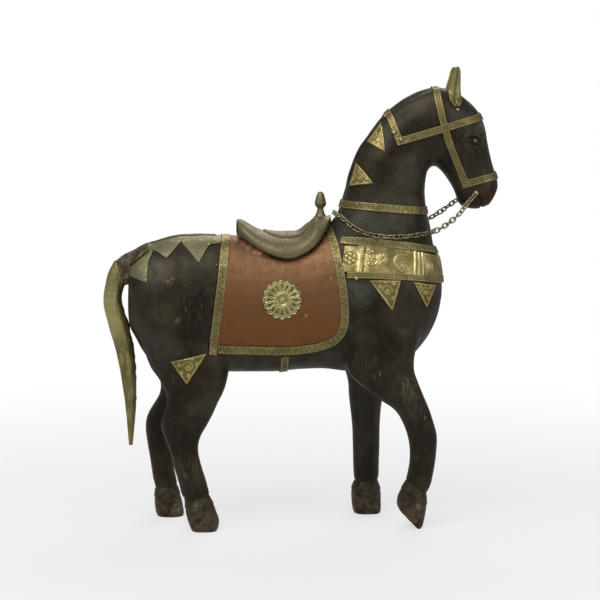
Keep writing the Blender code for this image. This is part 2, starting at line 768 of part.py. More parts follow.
# Neck band and plates at the crest
strip("neck_band", closed_line((39.8, 320.6), (125.0, 313.8), 29, 66), 7.7, STRIP_BRASS, closed=True)
both_sides("crest_plate_upper", ((66.4, 381.6), (80.4, 401.0), (82.6, 371.8)), PANEL_BRASS)
both_sides("crest_plate_lower", ((48.6, 338.4), (55.4, 361.6), (70.6, 341.4)), PANEL_BRASS)

# Thigh plates
both_sides("thigh_plate", ((-129.6, 169.4), (-94.6, 177.0), (-114.3, 146.6)), PANEL_BRASS)


# Bridle
def bend(line, table):
    """Sideways shifts along a line, read from pairs of height and shift; minus is to the rear."""
    places = [pair[0] for pair in table]
    amounts = [pair[1] for pair in table]
    return [float(np.interp(point.z, places, amounts)) for point in line]


cheek_line = section_line((133.6, 437), (169.2, 324), (165.2, 336.9), 29, 0.55, 70)
CHEEK_BEND = ((337, 0), (344, -0.8), (360, -3.0), (384, -5.4), (406, -4.8), (425, -2.2), (434, 0))
strip("cheek_strap", cheek_line, 6.8, STRIP_BRASS, shift=bend(cheek_line, CHEEK_BEND))

brow_line = section_line((183, 407.8), (97.5, 382.6), (101.9, 383.9), 29, 0.5, 75)


def lift_over(line, crossing, low, high, flat, slope):
    """Gaps along a line that step over another strip at a side-view crossing."""
    gaps = []
    for point in line:
        away = math.hypot(point.x - crossing[0], point.z - crossing[1])
        gaps.append(float(np.interp(away, (flat, flat + slope), (high, low))))
    return gaps


BROW_CROSSING = (140.6, 395.3)
brow_gaps = lift_over(brow_line, BROW_CROSSING, STRIP_GAP, STRIP_GAP + STRIP_THICK + LAYER_GAP, 6.5, 4.0)
strip("brow_strap", brow_line, 7.2, STRIP_BRASS, gap=brow_gaps)

mane_line = section_line((85.9, 413.2), (98.8, 376), (97.2, 380.6), 15, 0.35, 60)
strip("mane_strap", mane_line, 6.6, STRIP_BRASS)
nose_line = section_line((196, 348.4), (160, 339.8), (168.9, 341.9), 19, 0.5, 50)
strip("noseband", nose_line, 7.4, STRIP_BRASS)


# Croup plate: a sheet over the croup with three points on each side
CROUP_EDGE = [(-164.6, 250.6, -156.5), (-158.5, 248.4, -155), (-151.7, 245.9, -152.5), (-151.6, 256.2, -150),
              (-150.6, 265.5, -147.5), (-145.6, 276, -144), (-139.4, 273.4, -139), (-133, 268.9, -133),
              (-125.7, 276.9, -126), (-118.6, 284, -118.6), (-110.1, 274.6, -110), (-101.8, 264.9, -102),
              (-96.4, 274.1, -95), (-90.6, 281.6, -87.5)]
CROUP_ROWS = 11


def croup_plate():
    """Columns from the lower edge, over the spine, to the lower edge of the other side."""
    feet = []
    for x, z, top_x in CROUP_EDGE:
        top = skin.ray_cast(Vector((top_x, 0, 400)), Vector((0, 0, -1)), 300)[0].z
        foot = (2 * x - top_x, 2 * z - top - 4)
        feet.append(section_line((top_x, top + 4), foot, (x, z), CROUP_ROWS, 0.5, 110))
    ways = [[outward(foot) for foot in row] for row in feet]
    return layered("croup_plate", feet, ways, STRIP_GAP, SHEET_THICK, STRIP_BRASS)


croup_skin = surface_of(croup_plate())


def spine_line(start, end, count):
    fine = []
    for x in np.linspace(start, end, 60):
        fine.append(skin.ray_cast(Vector((x, 0, 400)), Vector((0, 0, -1)), 300)[0])
    return spread(fine, count)


crupper_line = spine_line(-158.0, -84, 11)
strip("crupper_strip", crupper_line, 9.0, SADDLE_BRASS, gap=BORDER_GAP, across=3, others=[croup_skin])

# Tail and the sheet over its outer side
TAIL = [
    (-165, 271.2, -168, 245.5, 0, 8.5, 2.1),
    (-176.5, 266.5, -172.8, 242.5, 0, 9.5, 2.1),
    (-184.6, 260, -175.4, 237, 0, 10, 2.1),
    (-191.4, 248, -177.4, 227.5, 0, 10, 2.1),
    (-194.8, 225, -175.4, 216, 0, 10, 2.1),
    (-190.6, 202, -171, 202, 0, 9.5, 2.1),
    (-184, 179, -166.4, 180.5, 0, 8.5, 2.1),
    (-178.2, 150, -163.7, 151, 0, 6.9, 2.1),
    (-173.8, 117, -164.4, 118, 0, 4.8, 2.1),
    (-170.8, 79.6, -168.6, 79.6, 0, 1.5, 2.1),
]
TAIL_SIDES = 12
COVER_SIDES = 9
COVER_TURN = 120.0


def carve_tail():
    """The root of the tail follows the rump; its end face gets a middle ring and a centre."""
    points, faces = tube_mesh(TAIL, TAIL_SIDES)
    faces = [face for face in faces if face != tuple(reversed(range(TAIL_SIDES)))]
    root = [on_rump(point) for point in points[:TAIL_SIDES]]
    middle = sum(points[:TAIL_SIDES], Vector()) / TAIL_SIDES
    ring = [on_rump(point.lerp(middle, 0.5)) for point in points[:TAIL_SIDES]]
    points[:TAIL_SIDES] = root
    start = len(points)
    points += ring + [on_rump(middle)]
    for k in range(TAIL_SIDES):
        after = (k + 1) % TAIL_SIDES
        faces.append((k, after, start + after, start + k))
        faces.append((start + k, start + after, start + TAIL_SIDES))
    return make_object("tail", points, faces, DARK_WOOD)


def on_rump(point):
    found = skin.ray_cast(Vector((-260, point.y, point.z)), Vector((1, 0, 0)), 200)[0]
    return Vector((found.x - TAIL_GAP, point.y, point.z))


def tail_cover():
    outer = []
    inner = []
    for x1, z1, x2, z2, y, half, power in TAIL[1:]:
        centre = Vector(((x1 + x2) / 2, y, (z1 + z2) / 2))
        reach = Vector(((x1 - x2) / 2, 0, (z1 - z2) / 2))
        for rows, grow in ((inner, LAYER_GAP), (outer, LAYER_GAP + SHEET_THICK)):
            row = []
            for turn in np.linspace(math.radians(-COVER_TURN), math.radians(COVER_TURN), COVER_SIDES):
                along = math.copysign(abs(math.cos(turn)) ** (2 / power), math.cos(turn))
                across = math.copysign(abs(math.sin(turn)) ** (2 / power), math.sin(turn))
                long_reach = reach * (1 + grow / reach.length)
                row.append(centre + long_reach * along + Vector((0, (half + grow) * across, 0)))
            rows.append(row)
    return sheet_solid("tail_cover", outer, inner, PANEL_BRASS)


carve_tail()
tail_cover()

# Ears: height, rear edge, front edge, distance from the middle plane
EAR = [
    (414.0, 152.4, 156.8, 17.5),
    (419.5, 147.0, 159.2, 15.5),
    (428.0, 146.0, 158.8, 13.5),
    (436.0, 145.4, 158.3, 13.0),
    (446.0, 147.2, 157.6, 13.6),
    (455.8, 150.0, 156.2, 14.4),
]
EAR_THICK = 1.6
EAR_CUP = 3.0
EAR_COLUMNS = 4


def ear(name, side):
    outer = []
    inner = []
    for z, rear, front, away in EAR:
        outer_row = []
        inner_row = []
        for c in range(EAR_COLUMNS):
            s = c / (EAR_COLUMNS - 1)
            x = rear + (front - rear) * s
            cup = EAR_CUP * (1 - (2 * s - 1) ** 2) * min(1.0, (z - 410) / 20)
            depth = away + cup
            for height in (-3.0, 0.0, 3.0):
                foot = side_hit(x, z + height, side)
                if foot:
                    depth = max(depth, abs(foot.y) + 0.9)
            inner_row.append(Vector((x, side * depth, z)))
            outer_row.append(Vector((x, side * (depth + EAR_THICK), z)))
        outer.append(outer_row)
        inner.append(inner_row)
    return sheet_solid(name, outer, inner, PANEL_BRASS)


ear("ear_right", RIGHT)
ear("ear_left", LEFT)


# Round-headed tacks
def tack(name, x, z, side, radius, look):
    foot = side_hit(x, z, side)
    up = outward(foot)
    first = up.orthogonal().normalized()
    second = up.cross(first)
    profile = [(radius, 0.0), (radius * 0.95, 0.5), (radius * 0.62, 1.3)]
    sides = 8
    points = []
    for reach, height in profile:
        for k in range(sides):
            turn = 2 * math.pi * k / sides
            flat = first * math.cos(turn) * reach + second * math.sin(turn) * reach
            points.append(foot + up * (height + STRIP_GAP) + flat)
    points.append(foot + up * (STRIP_GAP + 1.7))
    faces = [tuple(range(sides))]
    for k in range(sides):
        after = (k + 1) % sides
        for r in range(2):
            faces.append((r * sides + k, r * sides + after, (r + 1) * sides + after, (r + 1) * sides + k))
        faces.append((2 * sides + k, 2 * sides + after, 3 * sides))
    make_object(name, points, faces, look)


BIT_TACK = (173.9, 331.2)
EYE_TACK = (171.5, 382.8)
for tack_side, tack_word in ((RIGHT, "right"), (LEFT, "left")):
    tack("eye_tack_" + tack_word, *EYE_TACK, tack_side, 2.1, CHAIN_BRASS)
    tack("bit_tack_" + tack_word, *BIT_TACK, tack_side, 2.3, PANEL_BRASS)

# Rein chain: hangs free between the bit and the neck, then lies round the neck
NEAR_FREE = [(171.4, 328.6, 20), (163.1, 319.7, 23.5), (154.6, 310, 28), (143.1, 301.4, 32.5),
             (132.9, 295.7, 35)]
NEAR_ON_NECK = [(121, 291.8), (108, 290.2), (94.5, 289.4), (80.9, 289.6), (66.2, 291.6), (52.5, 297.2),
                (43, 305.3)]
FAR_ON_NECK = [(119, 295.6), (104, 292.6), (90, 291.4), (76, 292.0), (62, 294.6), (50, 300.2), (42, 306.4)]
FAR_FREE = [(171.0, 329.4, 20), (159.3, 321.1, 25.5), (144.6, 309.8, 31), (131.9, 301.4, 36)]
CREST_PLACE = (35.0, 311.0)


def chain_line():
    line = [Vector((x, -y, z)) for x, z, y in NEAR_FREE]
    for x, z in NEAR_ON_NECK:
        foot = side_hit(x, z, RIGHT)
        line.append(foot + outward(foot) * CHAIN_CLEARANCE)
    crest = dense.find_nearest(Vector((CREST_PLACE[0], 0, CREST_PLACE[1])))
    line.append(crest[0] + crest[1] * CHAIN_CLEARANCE)
    for x, z in reversed(FAR_ON_NECK):
        foot = side_hit(x, z, LEFT)
        line.append(foot + outward(foot) * CHAIN_CLEARANCE)
    line += [Vector((x, y, z)) for x, z, y in reversed(FAR_FREE)]
    table = np.array([tuple(point) for point in line])
    fine = np.array([curve_row(table, place) for place in np.linspace(0, len(table) - 1, 400)])
    lengths = np.concatenate([[0.0], np.cumsum(np.linalg.norm(np.diff(fine, axis=0), axis=1))])
    links = int(lengths[-1] // CHAIN_PITCH)
    goals = np.linspace(0, lengths[-1], 2 * links + 1)
    places = [Vector([float(np.interp(goal, lengths, fine[:, axis])) for axis in range(3)])
              for goal in goals]
    for k, place in enumerate(places):
        near = dense.find_nearest(place)
        room = (place - near[0]).dot(near[1])
        if room < CHAIN_CLEARANCE:
            places[k] = place + near[1] * (CHAIN_CLEARANCE - room)
    return places


def chain():
    """Flat links, each turned a quarter against the one before, fused where they hook together."""
    places = chain_line()
    count = len(places)
    points = []
    for k, place in enumerate(places):
        along = (places[min(k + 1, count - 1)] - places[max(k - 1, 0)]).normalized()
        up = outward(place)
        first = along.cross(up).normalized()
        second = along.cross(first).normalized()
        first, second = (first + second).normalized(), (second - first).normalized()
        wide = CHAIN_WIRE
        thin = CHAIN_WIRE
        if k % 2:
            if k % 4 == 1:
                wide = CHAIN_WIDE
            else:
                thin = CHAIN_WIDE
        for a, b in ((1, 1), (-1, 1), (-1, -1), (1, -1)):
            points.append(place + first * wide * a + second * thin * b)
    faces = [(3, 2, 1, 0), tuple(range(4 * count - 4, 4 * count))]
    for k in range(count - 1):
        for c in range(4):
            after = (c + 1) % 4
            faces.append((4 * k + c, 4 * k + after, 4 * k + 4 + after, 4 * k + 4 + c))
    make_object("rein_chain", points, faces, CHAIN_BRASS, smooth=False)


chain()

# Put the middle of the whole object over the origin
everything = [thing for thing in bpy.context.scene.objects if thing.type == "MESH"]
corners = np.array([tuple(vertex.co) for thing in everything for vertex in thing.data.vertices])
lowest = corners.min(axis=0)
highest = corners.max(axis=0)
middle = Vector(((lowest[0] + highest[0]) / 2, (lowest[1] + highest[1]) / 2, 0.0))
for thing in everything:
    for vertex in thing.data.vertices:
        vertex.co = vertex.co - middle
    thing.data.update()
print("moved by", [round(-value / MM, 2) for value in middle], "mm")
print("size", [round(float(value) / MM, 1) for value in highest - lowest], "mm")
total = 0
for thing in everything:
    count = sum(len(face.vertices) - 2 for face in thing.data.polygons)
    total += count
    print(thing.name, count)
print("triangles", total)
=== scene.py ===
# %% [markdown]
# A carved wooden horse, clad with thin brass and copper. The imported solids give every size and
# place. This lesson carves the wood finer, lays punched metal over it, hangs the chain and gives
# each surface its finish. First the imported model is loaded.

# %% Load the frame
import math

import bmesh
import bpy
import numpy as np
from mathutils import Matrix, Vector, noise
from mathutils.bvhtree import BVHTree


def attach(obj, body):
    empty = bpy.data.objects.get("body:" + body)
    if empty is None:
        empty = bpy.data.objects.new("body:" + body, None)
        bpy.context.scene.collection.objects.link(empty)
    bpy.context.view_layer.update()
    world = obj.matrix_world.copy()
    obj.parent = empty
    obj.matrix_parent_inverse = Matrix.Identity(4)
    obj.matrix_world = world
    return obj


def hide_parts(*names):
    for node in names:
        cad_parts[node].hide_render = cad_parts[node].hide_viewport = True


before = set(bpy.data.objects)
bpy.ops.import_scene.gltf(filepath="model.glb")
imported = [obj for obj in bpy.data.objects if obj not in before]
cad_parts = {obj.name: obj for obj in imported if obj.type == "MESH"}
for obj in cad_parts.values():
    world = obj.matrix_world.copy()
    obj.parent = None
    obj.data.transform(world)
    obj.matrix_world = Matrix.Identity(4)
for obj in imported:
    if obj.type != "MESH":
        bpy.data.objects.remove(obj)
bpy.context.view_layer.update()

MM = 0.001

# %% [markdown]
# The camera comes first. The photograph was taken from a little above the saddle, four degrees
# behind the middle of the horse's right side, from about two metres. A long lens gives the same
# slight perspective. All later places are in millimetres, drawn in a side view whose origin lies
# 1.37 mm behind the middle of the finished horse, so that amount is taken off each drawn x.

# %% Camera
SHIFT = 1.37
VIEW_TURN = math.radians(-4)
VIEW_DISTANCE = 2.0
CAMERA_HEIGHT = 0.4275
AIM_HEIGHT = 0.224
camera_data = bpy.data.cameras.new("camera")
camera_data.sensor_width = 36.0
camera_data.lens = 120.6
camera = bpy.data.objects.new("camera", camera_data)
bpy.context.scene.collection.objects.link(camera)
camera.location = (math.sin(VIEW_TURN) * VIEW_DISTANCE - SHIFT * MM,
                   -math.cos(VIEW_TURN) * VIEW_DISTANCE, CAMERA_HEIGHT)
aim = Vector((-SHIFT * MM, 0, AIM_HEIGHT)) - camera.location
camera.rotation_euler = aim.to_track_quat("-Z", "Y").to_euler()
bpy.context.scene.camera = camera
bpy.context.scene.view_settings.view_transform = "Standard"
print("camera at", [round(value, 3) for value in camera.location])

# %% [markdown]
# Blender's operators work on whatever is selected, so a small helper selects one piece alone.
# Another applies a piece's modifiers in order, and a third goes into edit mode, merges doubles,
# fills open ends and turns all faces outwards. Two more give a sheet its thickness and join parts
# into one piece.

# %% Helpers for single pieces
def only(piece):
    """Select and activate this piece and nothing else."""
    bpy.ops.object.select_all(action="DESELECT")
    piece.select_set(True)
    bpy.context.view_layer.objects.active = piece
    return piece


def apply_modifiers(piece):
    """Apply the modifiers of a piece in their order."""
    only(piece)
    for modifier in list(piece.modifiers):
        bpy.ops.object.modifier_apply(modifier=modifier.name)
    return piece


def mend(piece, fill=False, outward=True):
    """Merge corners that lie on each other, close open ends and turn the faces outwards."""
    only(piece)
    bpy.ops.object.mode_set(mode="EDIT")
    bpy.ops.mesh.select_all(action="SELECT")
    bpy.ops.mesh.remove_doubles(threshold=1e-6)
    if fill:
        bpy.ops.mesh.fill_holes(sides=0)
        bpy.ops.mesh.select_all(action="SELECT")
    if outward:
        bpy.ops.mesh.normals_make_consistent(inside=False)
    bpy.ops.object.mode_set(mode="OBJECT")
    return piece


def soften(piece, angle):
    """Shade smoothly, but keep edges sharper than this angle in degrees."""
    only(piece)
    bpy.ops.object.shade_smooth_by_angle(angle=math.radians(angle))
    return piece


def thicken(piece, thick):
    """Give a sheet its thickness in millimetres, inwards from its outer face."""
    wall = piece.modifiers.new("wall", "SOLIDIFY")
    wall.thickness = thick * MM
    wall.offset = -1.0
    return piece


def join(parts, name):
    """Join the parts into one piece of this name."""
    only(parts[0])
    for part in parts:
        part.select_set(True)
    bpy.ops.object.join()
    piece = bpy.context.object
    piece.name = name
    piece.data.name = name
    return piece


def corners_of(piece):
    """All corners of a mesh in millimetres."""
    flat = np.empty(len(piece.data.vertices) * 3, np.float32)
    piece.data.vertices.foreach_get("co", flat)
    return flat.reshape(-1, 3).astype(float) / MM


def set_corners(piece, places):
    """Move all corners to their places, given in millimetres."""
    piece.data.vertices.foreach_set("co", (places * MM).astype(np.float32).ravel())
    piece.data.update()


def tree_of(piece):
    """A search tree over the faces of a piece, in millimetres."""
    faces = [tuple(face.vertices) for face in piece.data.polygons]
    return BVHTree.FromPolygons(corners_of(piece).tolist(), faces)


# %% [markdown]
# Most pieces here are sheets, or bodies that a sheet can be rolled into. A flat grid is added as
# a primitive, and each of its corners is carried to its own place, like paper laid on a form.
# The flat sizes stay in the UV map, in millimetres, so a punched pattern can follow the piece.

# %% Lay a grid
def lay(name, places, flat=None, facing=None):
    """A grid whose corners take their places. Rows run along the piece, columns across it."""
    rows, columns = places.shape[:2]
    bpy.ops.object.select_all(action="DESELECT")
    bpy.ops.mesh.primitive_grid_add(x_subdivisions=columns - 1, y_subdivisions=rows - 1, size=1.0)
    piece = bpy.context.object
    piece.name = name
    piece.data.name = name
    own = corners_of(piece) * MM
    column = np.rint((own[:, 0] + 0.5) * (columns - 1)).astype(int)
    row = np.rint((own[:, 1] + 0.5) * (rows - 1)).astype(int)
    set_corners(piece, places[row, column])
    if flat is not None:
        owner = np.empty(len(piece.data.loops), np.int32)
        piece.data.loops.foreach_get("vertex_index", owner)
        spread = flat[row, column][owner]
        piece.data.uv_layers.active.data.foreach_set("uv", spread.astype(np.float32).ravel())
    if facing is not None:
        r, c = rows // 2, columns // 2
        normal = np.cross(places[r, c] - places[r, c - 1], places[r, c] - places[r - 1, c])
        if float(np.dot(normal, facing[r, c])) < 0:
            only(piece)
            bpy.ops.object.mode_set(mode="EDIT")
            bpy.ops.mesh.select_all(action="SELECT")
            bpy.ops.mesh.flip_normals()
            bpy.ops.object.mode_set(mode="OBJECT")
    return piece, row, column


def keep_number(piece, name, values):
    """Store one number for each corner, for the finish to read."""
    layer = piece.data.attributes.new(name, "FLOAT", "POINT")
    layer.data.foreach_set("value", values.astype(np.float32).ravel())


def between(table, count):
    """Rows of a table with a smooth curve drawn through them, at evenly spread places."""
    table = np.array(table, dtype=float)
    place = np.linspace(0, len(table) - 1, count)
    low = np.minimum(place.astype(int), len(table) - 2)
    t = (place - low)[:, None]
    p0, p1 = table[np.maximum(low - 1, 0)], table[low]
    p2, p3 = table[low + 1], table[np.minimum(low + 2, len(table) - 1)]
    return 0.5 * (2 * p1 + (p2 - p0) * t + (2 * p0 - 5 * p1 + 4 * p2 - p3) * t * t
                  + (3 * p1 - p0 - 3 * p2 + p3) * t * t * t)


# %% [markdown]
# The body is one block of dark hardwood. Its carver worked from a few cross-sections: torso, neck
# and head, and four legs. Each row of a table is one section seen from the side: its two outline
# points, its distance from the middle plane, its half width and how square it is.

# %% Sections of the body
TORSO = [
    (-171.2, 239, -171.2, 213.5, 0, 13, 2), (-169.3, 259.2, -169.6, 199.5, 0, 27, 2.1),
    (-165, 272.2, -164.4, 188.5, 0, 36, 2.2), (-154, 279.3, -153.4, 169.5, 0, 43.5, 2.25),
    (-141, 283.2, -141, 158.5, 0, 47.5, 2.25), (-122, 288.2, -122, 153.5, 0, 49.5, 2.25),
    (-96, 289.2, -96, 152.5, 0, 48.5, 2.2), (-66, 288.2, -66, 152.5, 0, 46.5, 2.2),
    (-30, 285.2, -30, 152.5, 0, 46.5, 2.2), (0, 286.7, 0, 154.5, 0, 47, 2.2),
    (24, 293.2, 24, 155, 0, 47.5, 2.2), (50, 299.2, 50, 151.5, 0, 48.5, 2.2),
    (80, 300.5, 80, 152.5, 0, 48.5, 2.2), (103, 296.5, 103, 159.5, 0, 46, 2.2),
    (119, 290.5, 119, 174.5, 0, 40, 2.1), (130, 282.5, 130, 189.5, 0, 31, 2),
    (138, 268.5, 138, 207.5, 0, 20, 2), (142, 250.5, 142, 226.5, 0, 9, 2),
]
NECK_AND_HEAD = [
    (8.5, 269.6, 112, 207.5, 0, 38, 2.1), (20.5, 288.6, 134, 252.5, 0, 40, 2.1),
    (29.5, 300.6, 131.5, 290.5, 0, 38, 2.1), (37.5, 311.6, 127, 312.5, 0, 35, 2.15),
    (44, 332.6, 125, 329.5, 0, 31.5, 2.15), (49.5, 352.6, 126, 343.5, 0, 29, 2.1),
    (57.5, 372.1, 127.5, 352.5, 0, 27, 2.1), (67.5, 387.1, 130, 355.5, 0, 25, 2.1),
    (83.5, 408.1, 132, 357.5, 0, 23.5, 2.1), (106.5, 426.1, 134, 358, 0, 23, 2.1),
    (130.5, 435.6, 135.5, 357.5, 0, 23.5, 2.1), (150.5, 433.1, 137, 356.5, 0, 24.5, 2.2),
    (165.4, 424.2, 139.5, 354, 0, 25, 2.25), (177.4, 412.2, 143, 350.5, 0, 25, 2.25),
    (184.4, 397.2, 147, 345.5, 0, 24, 2.25), (186.7, 382.7, 151, 339, 0, 21, 2.3),
    (189.9, 369.7, 154, 333, 0, 18.5, 2.3), (193.4, 356.7, 156.5, 327, 0, 17.5, 2.3),
    (197.4, 346.2, 158.5, 321.5, 0, 17.5, 2.3), (198.6, 336.7, 163, 316.8, 0, 17, 2.2),
    (196.4, 328.2, 170, 315.1, 0, 14.5, 2.1), (190.9, 320.2, 178, 314.7, 0, 9, 2),
]
RIGHT_HIND = [
    (-160, 205, -84, 200, -23, 20, 2.1), (-157, 185, -79, 182, -27, 21.5, 2.2),
    (-150, 163, -72.5, 166, -30, 19.5, 2.2), (-141.5, 150.5, -73, 154, -33, 17.5, 2.2),
    (-135, 137, -77.5, 138, -36, 16, 2.2), (-133.5, 127, -82.5, 128, -37, 15, 2.2),
    (-138, 113, -89, 114, -37, 14, 2.2), (-140, 103.5, -95, 103.5, -37, 13.2, 2.2),
    (-136, 92, -101, 92, -37, 12.7, 2.2), (-130.5, 76, -103, 79, -37, 12.2, 2.2),
    (-127, 62, -99.5, 63, -37, 12, 2.2), (-122, 45, -94.5, 46, -37, 12, 2.2),
    (-119.6, 35, -92.4, 38, -37, 12, 2.3), (-117.0, 30, -91.6, 33.5, -37, 11.2, 2.4),
    (-117.0, 24.5, -88.6, 28, -37, 13.4, 2.6), (-115.6, 16, -85.4, 18, -37, 14.8, 2.7),
    (-113.6, 8, -82.3, 9, -37, 15, 2.8), (-110.6, 0, -84.4, 0, -37, 14.6, 2.8),
    (-109.5, -8, -87, -8, -37, 14.2, 2.8),
]
RIGHT_FORE = [
    (50, 215, 118, 222, -22, 19, 2.1), (46, 190, 118, 195, -27, 20, 2.2),
    (43.5, 165, 112, 172, -30, 18.5, 2.2), (48, 151.5, 111, 157, -33, 17, 2.2),
    (62, 139, 115, 145, -35.5, 15.5, 2.2), (77, 128, 120.5, 131, -37, 14.5, 2.2),
    (91, 118, 125.5, 119.5, -37, 13.8, 2.2), (99.5, 105, 130, 106, -37, 13.3, 2.2),
    (105, 89, 134, 90.5, -37, 13.2, 2.2), (106.8, 71, 132.8, 71, -37, 12.7, 2.2),
    (105.4, 60, 130.4, 55, -37, 12.2, 2.2), (104, 53, 127.4, 42, -37, 12, 2.3),
    (102.4, 47.5, 123.7, 34.8, -37, 11.2, 2.4), (98.6, 40, 124.1, 29.6, -37, 13.2, 2.6),
    (95.2, 31.5, 123.9, 24.5, -37, 14.6, 2.8), (93.9, 25.2, 122.6, 15.5, -37, 15, 3.0),
    (94.6, 20.8, 120.2, 5.4, -37, 15, 3.6), (96.3, 17.6, 117.4, -4.6, -37, 14.6, 4.4),
]
LEFT_FORE = [
    (50, 215, 118, 222, 22, 19, 2.1), (46, 190, 117, 195, 27, 20, 2.2),
    (44, 166, 112, 172, 30, 18.5, 2.2), (48, 150, 105, 156, 33, 17, 2.2),
    (51.5, 136, 97, 140, 35.5, 15.5, 2.2), (52.8, 122, 89.5, 125, 37, 14.5, 2.2),
    (54.5, 107, 86, 109, 37, 13.8, 2.2), (56, 90, 85, 91, 37, 13, 2.2),
    (56.7, 68, 84.3, 68, 37, 12.4, 2.2), (57.3, 50, 84, 50, 37, 12, 2.2),
    (58.3, 38.5, 84, 38.5, 37, 12, 2.3), (59.0, 34.2, 82.9, 34.2, 37, 11.2, 2.4),
    (57.0, 29, 84.6, 29, 37, 13.3, 2.6), (55.8, 23, 86, 23, 37, 14.8, 2.8),
    (56, 8, 86.3, 8, 37, 15, 2.6), (58, 0, 86, 0, 37, 14.5, 2.6), (59, -8, 85, -8, 37, 14.2, 2.6),
]
LEFT_HIND = [
    (-160, 205, -84, 200, 23, 20, 2.1), (-157, 185, -79, 182, 27, 21.5, 2.2),
    (-150, 163, -76, 163, 30, 19.5, 2.2), (-143, 148, -84, 148, 33, 17.5, 2.2),
    (-139.5, 135, -94, 134, 36, 16, 2.2), (-141.5, 124, -103, 124, 37, 15, 2.2),
    (-149.5, 111.5, -113, 112, 37, 14, 2.2), (-154.5, 101, -121, 102, 37, 13.2, 2.2),
    (-155.5, 89, -126.5, 90, 37, 12.7, 2.2), (-153.5, 74, -128.5, 75, 37, 12.2, 2.2),
    (-151, 60, -127.5, 60, 37, 12, 2.2), (-149, 45, -125.5, 45, 37, 12, 2.2),
    (-147.6, 36, -124, 38, 37, 12, 2.3), (-145.8, 31.5, -123.6, 33.5, 37, 11.2, 2.4),
    (-146.6, 26, -121.8, 28, 37, 13.3, 2.6), (-146.6, 17, -119.2, 18, 37, 14.8, 2.7),
    (-146, 8, -117.3, 8, 37, 15, 2.6), (-144.5, 0, -116.3, 0, 37, 14.5, 2.6),
    (-143.5, -8, -117, -8, 37, 14.2, 2.6),
]

# %% [markdown]
# A smooth curve runs through the rows of each table, and a grid is rolled round the sections and
# closed at both ends. The six tubes are then joined into one mesh, still crossing each other.

# %% Roll a tube round its sections
def squared(turn, power, wave):
    """Cosine or sine of an angle, drawn out towards a rounded square."""
    value = wave(turn)
    return np.sign(value) * np.abs(value) ** (2 / power)


def tube_places(table, sides, steps, grow=0.0, angles=None):
    """Ring by ring, the places of a tube; angle 0 looks at a section's first outline point."""
    rows = between(table, (len(table) - 1) * steps + 1)
    turn = np.linspace(0, 2 * math.pi, sides + 1) if angles is None else angles
    places = np.empty((len(rows), len(turn), 3))
    for k, (x1, z1, x2, z2, y, half, power) in enumerate(rows):
        centre = np.array(((x1 + x2) / 2 - SHIFT, y, (z1 + z2) / 2))
        reach = np.array(((x1 - x2) / 2, 0, (z1 - z2) / 2))
        reach = reach * (1 + grow / np.linalg.norm(reach))
        across = squared(turn, power, np.sin)[:, None] * np.array((0, half + grow, 0))
        places[k] = centre + squared(turn, power, np.cos)[:, None] * reach + across
    return places


def roll_tube(name, table, sides=32, steps=3):
    """A tube round a table of sections, closed at both ends."""
    return mend(lay(name, tube_places(table, sides, steps))[0], fill=True)


body_parts = [roll_tube("part", table) for table in
              (TORSO, NECK_AND_HEAD, RIGHT_HIND, RIGHT_FORE, LEFT_FORE, LEFT_HIND)]
horse = join(body_parts, "horse_carved")
print("rolled", len(body_parts), "tubes,", len(horse.data.polygons), "faces")

# %% [markdown]
# A voxel remesh turns the six tubes into one skin, as if they were cut from one block, and a
# smoothing rounds the places where a leg meets the body. The cut with a level plane gives each
# hoof a flat sole. The head, the crest and the hooves get finer faces for their carving, and the
# eye and the mouth the finest.

# %% One skin
WOOD_CELL = 2.3
SOLE_HEIGHT = 0.02
blend = horse.modifiers.new("blend", "REMESH")
blend.mode = "VOXEL"
blend.voxel_size = WOOD_CELL * MM
blend.use_smooth_shade = True
rounding = horse.modifiers.new("rounding", "SMOOTH")
rounding.factor = 0.5
rounding.iterations = 5
apply_modifiers(horse)

only(horse)
bpy.ops.object.mode_set(mode="EDIT")
bpy.ops.mesh.select_all(action="SELECT")
bpy.ops.mesh.bisect(plane_co=(0, 0, SOLE_HEIGHT * MM), plane_no=(0, 0, 1), use_fill=True, clear_inner=True)
bpy.ops.mesh.select_all(action="DESELECT")
bpy.ops.object.mode_set(mode="OBJECT")

CREST = np.array([(44, 332.6), (49.5, 352.6), (57.5, 372.1), (67.5, 387.1), (83.5, 408.1),
                  (106.5, 426.1), (130.5, 435.6)])


def from_line(x, z, line):
    """How far side-view places lie from a line, and how far along it the nearest point is."""
    best = np.full(len(x), 1e9)
    share = np.zeros(len(x))
    for k in range(len(line) - 1):
        start, way = line[k], line[k + 1] - line[k]
        t = np.clip(((x - start[0]) * way[0] + (z - start[1]) * way[1]) / (way @ way), 0, 1)
        away = np.hypot(x - start[0] - way[0] * t, z - start[1] - way[1] * t)
        nearer = away < best
        best[nearer] = away[nearer]
        share[nearer] = (k + t[nearer]) / (len(line) - 1)
    return best, share


def quarter(chosen):
    """Cut every face of the horse that a test on the drawn places picks into four."""
    only(horse)
    bpy.ops.object.mode_set(mode="EDIT")
    bpy.ops.mesh.select_mode(type="FACE")
    bpy.ops.mesh.select_all(action="DESELECT")
    bpy.ops.object.mode_set(mode="OBJECT")
    centres = np.array([tuple(face.center) for face in horse.data.polygons]) / MM
    fine = chosen(centres[:, 0] + SHIFT, centres[:, 1], centres[:, 2])
    horse.data.polygons.foreach_set("select", fine)
    bpy.ops.object.mode_set(mode="EDIT")
    bpy.ops.mesh.subdivide(number_cuts=1)
    bpy.ops.object.mode_set(mode="OBJECT")
    print("horse skin:", len(horse.data.polygons), "faces,", int(fine.sum()), "made finer")


def at_carving(x, y, z):
    """The head, the crest and the hooves."""
    away = from_line(x, z, CREST)[0]
    fine = ((x > 128) & (z > 312)) | ((away < 13) & (np.abs(y) < 13))
    fine |= (z < 42) | ((x > 90) & (z < 57))
    return fine & (z > 1.0)


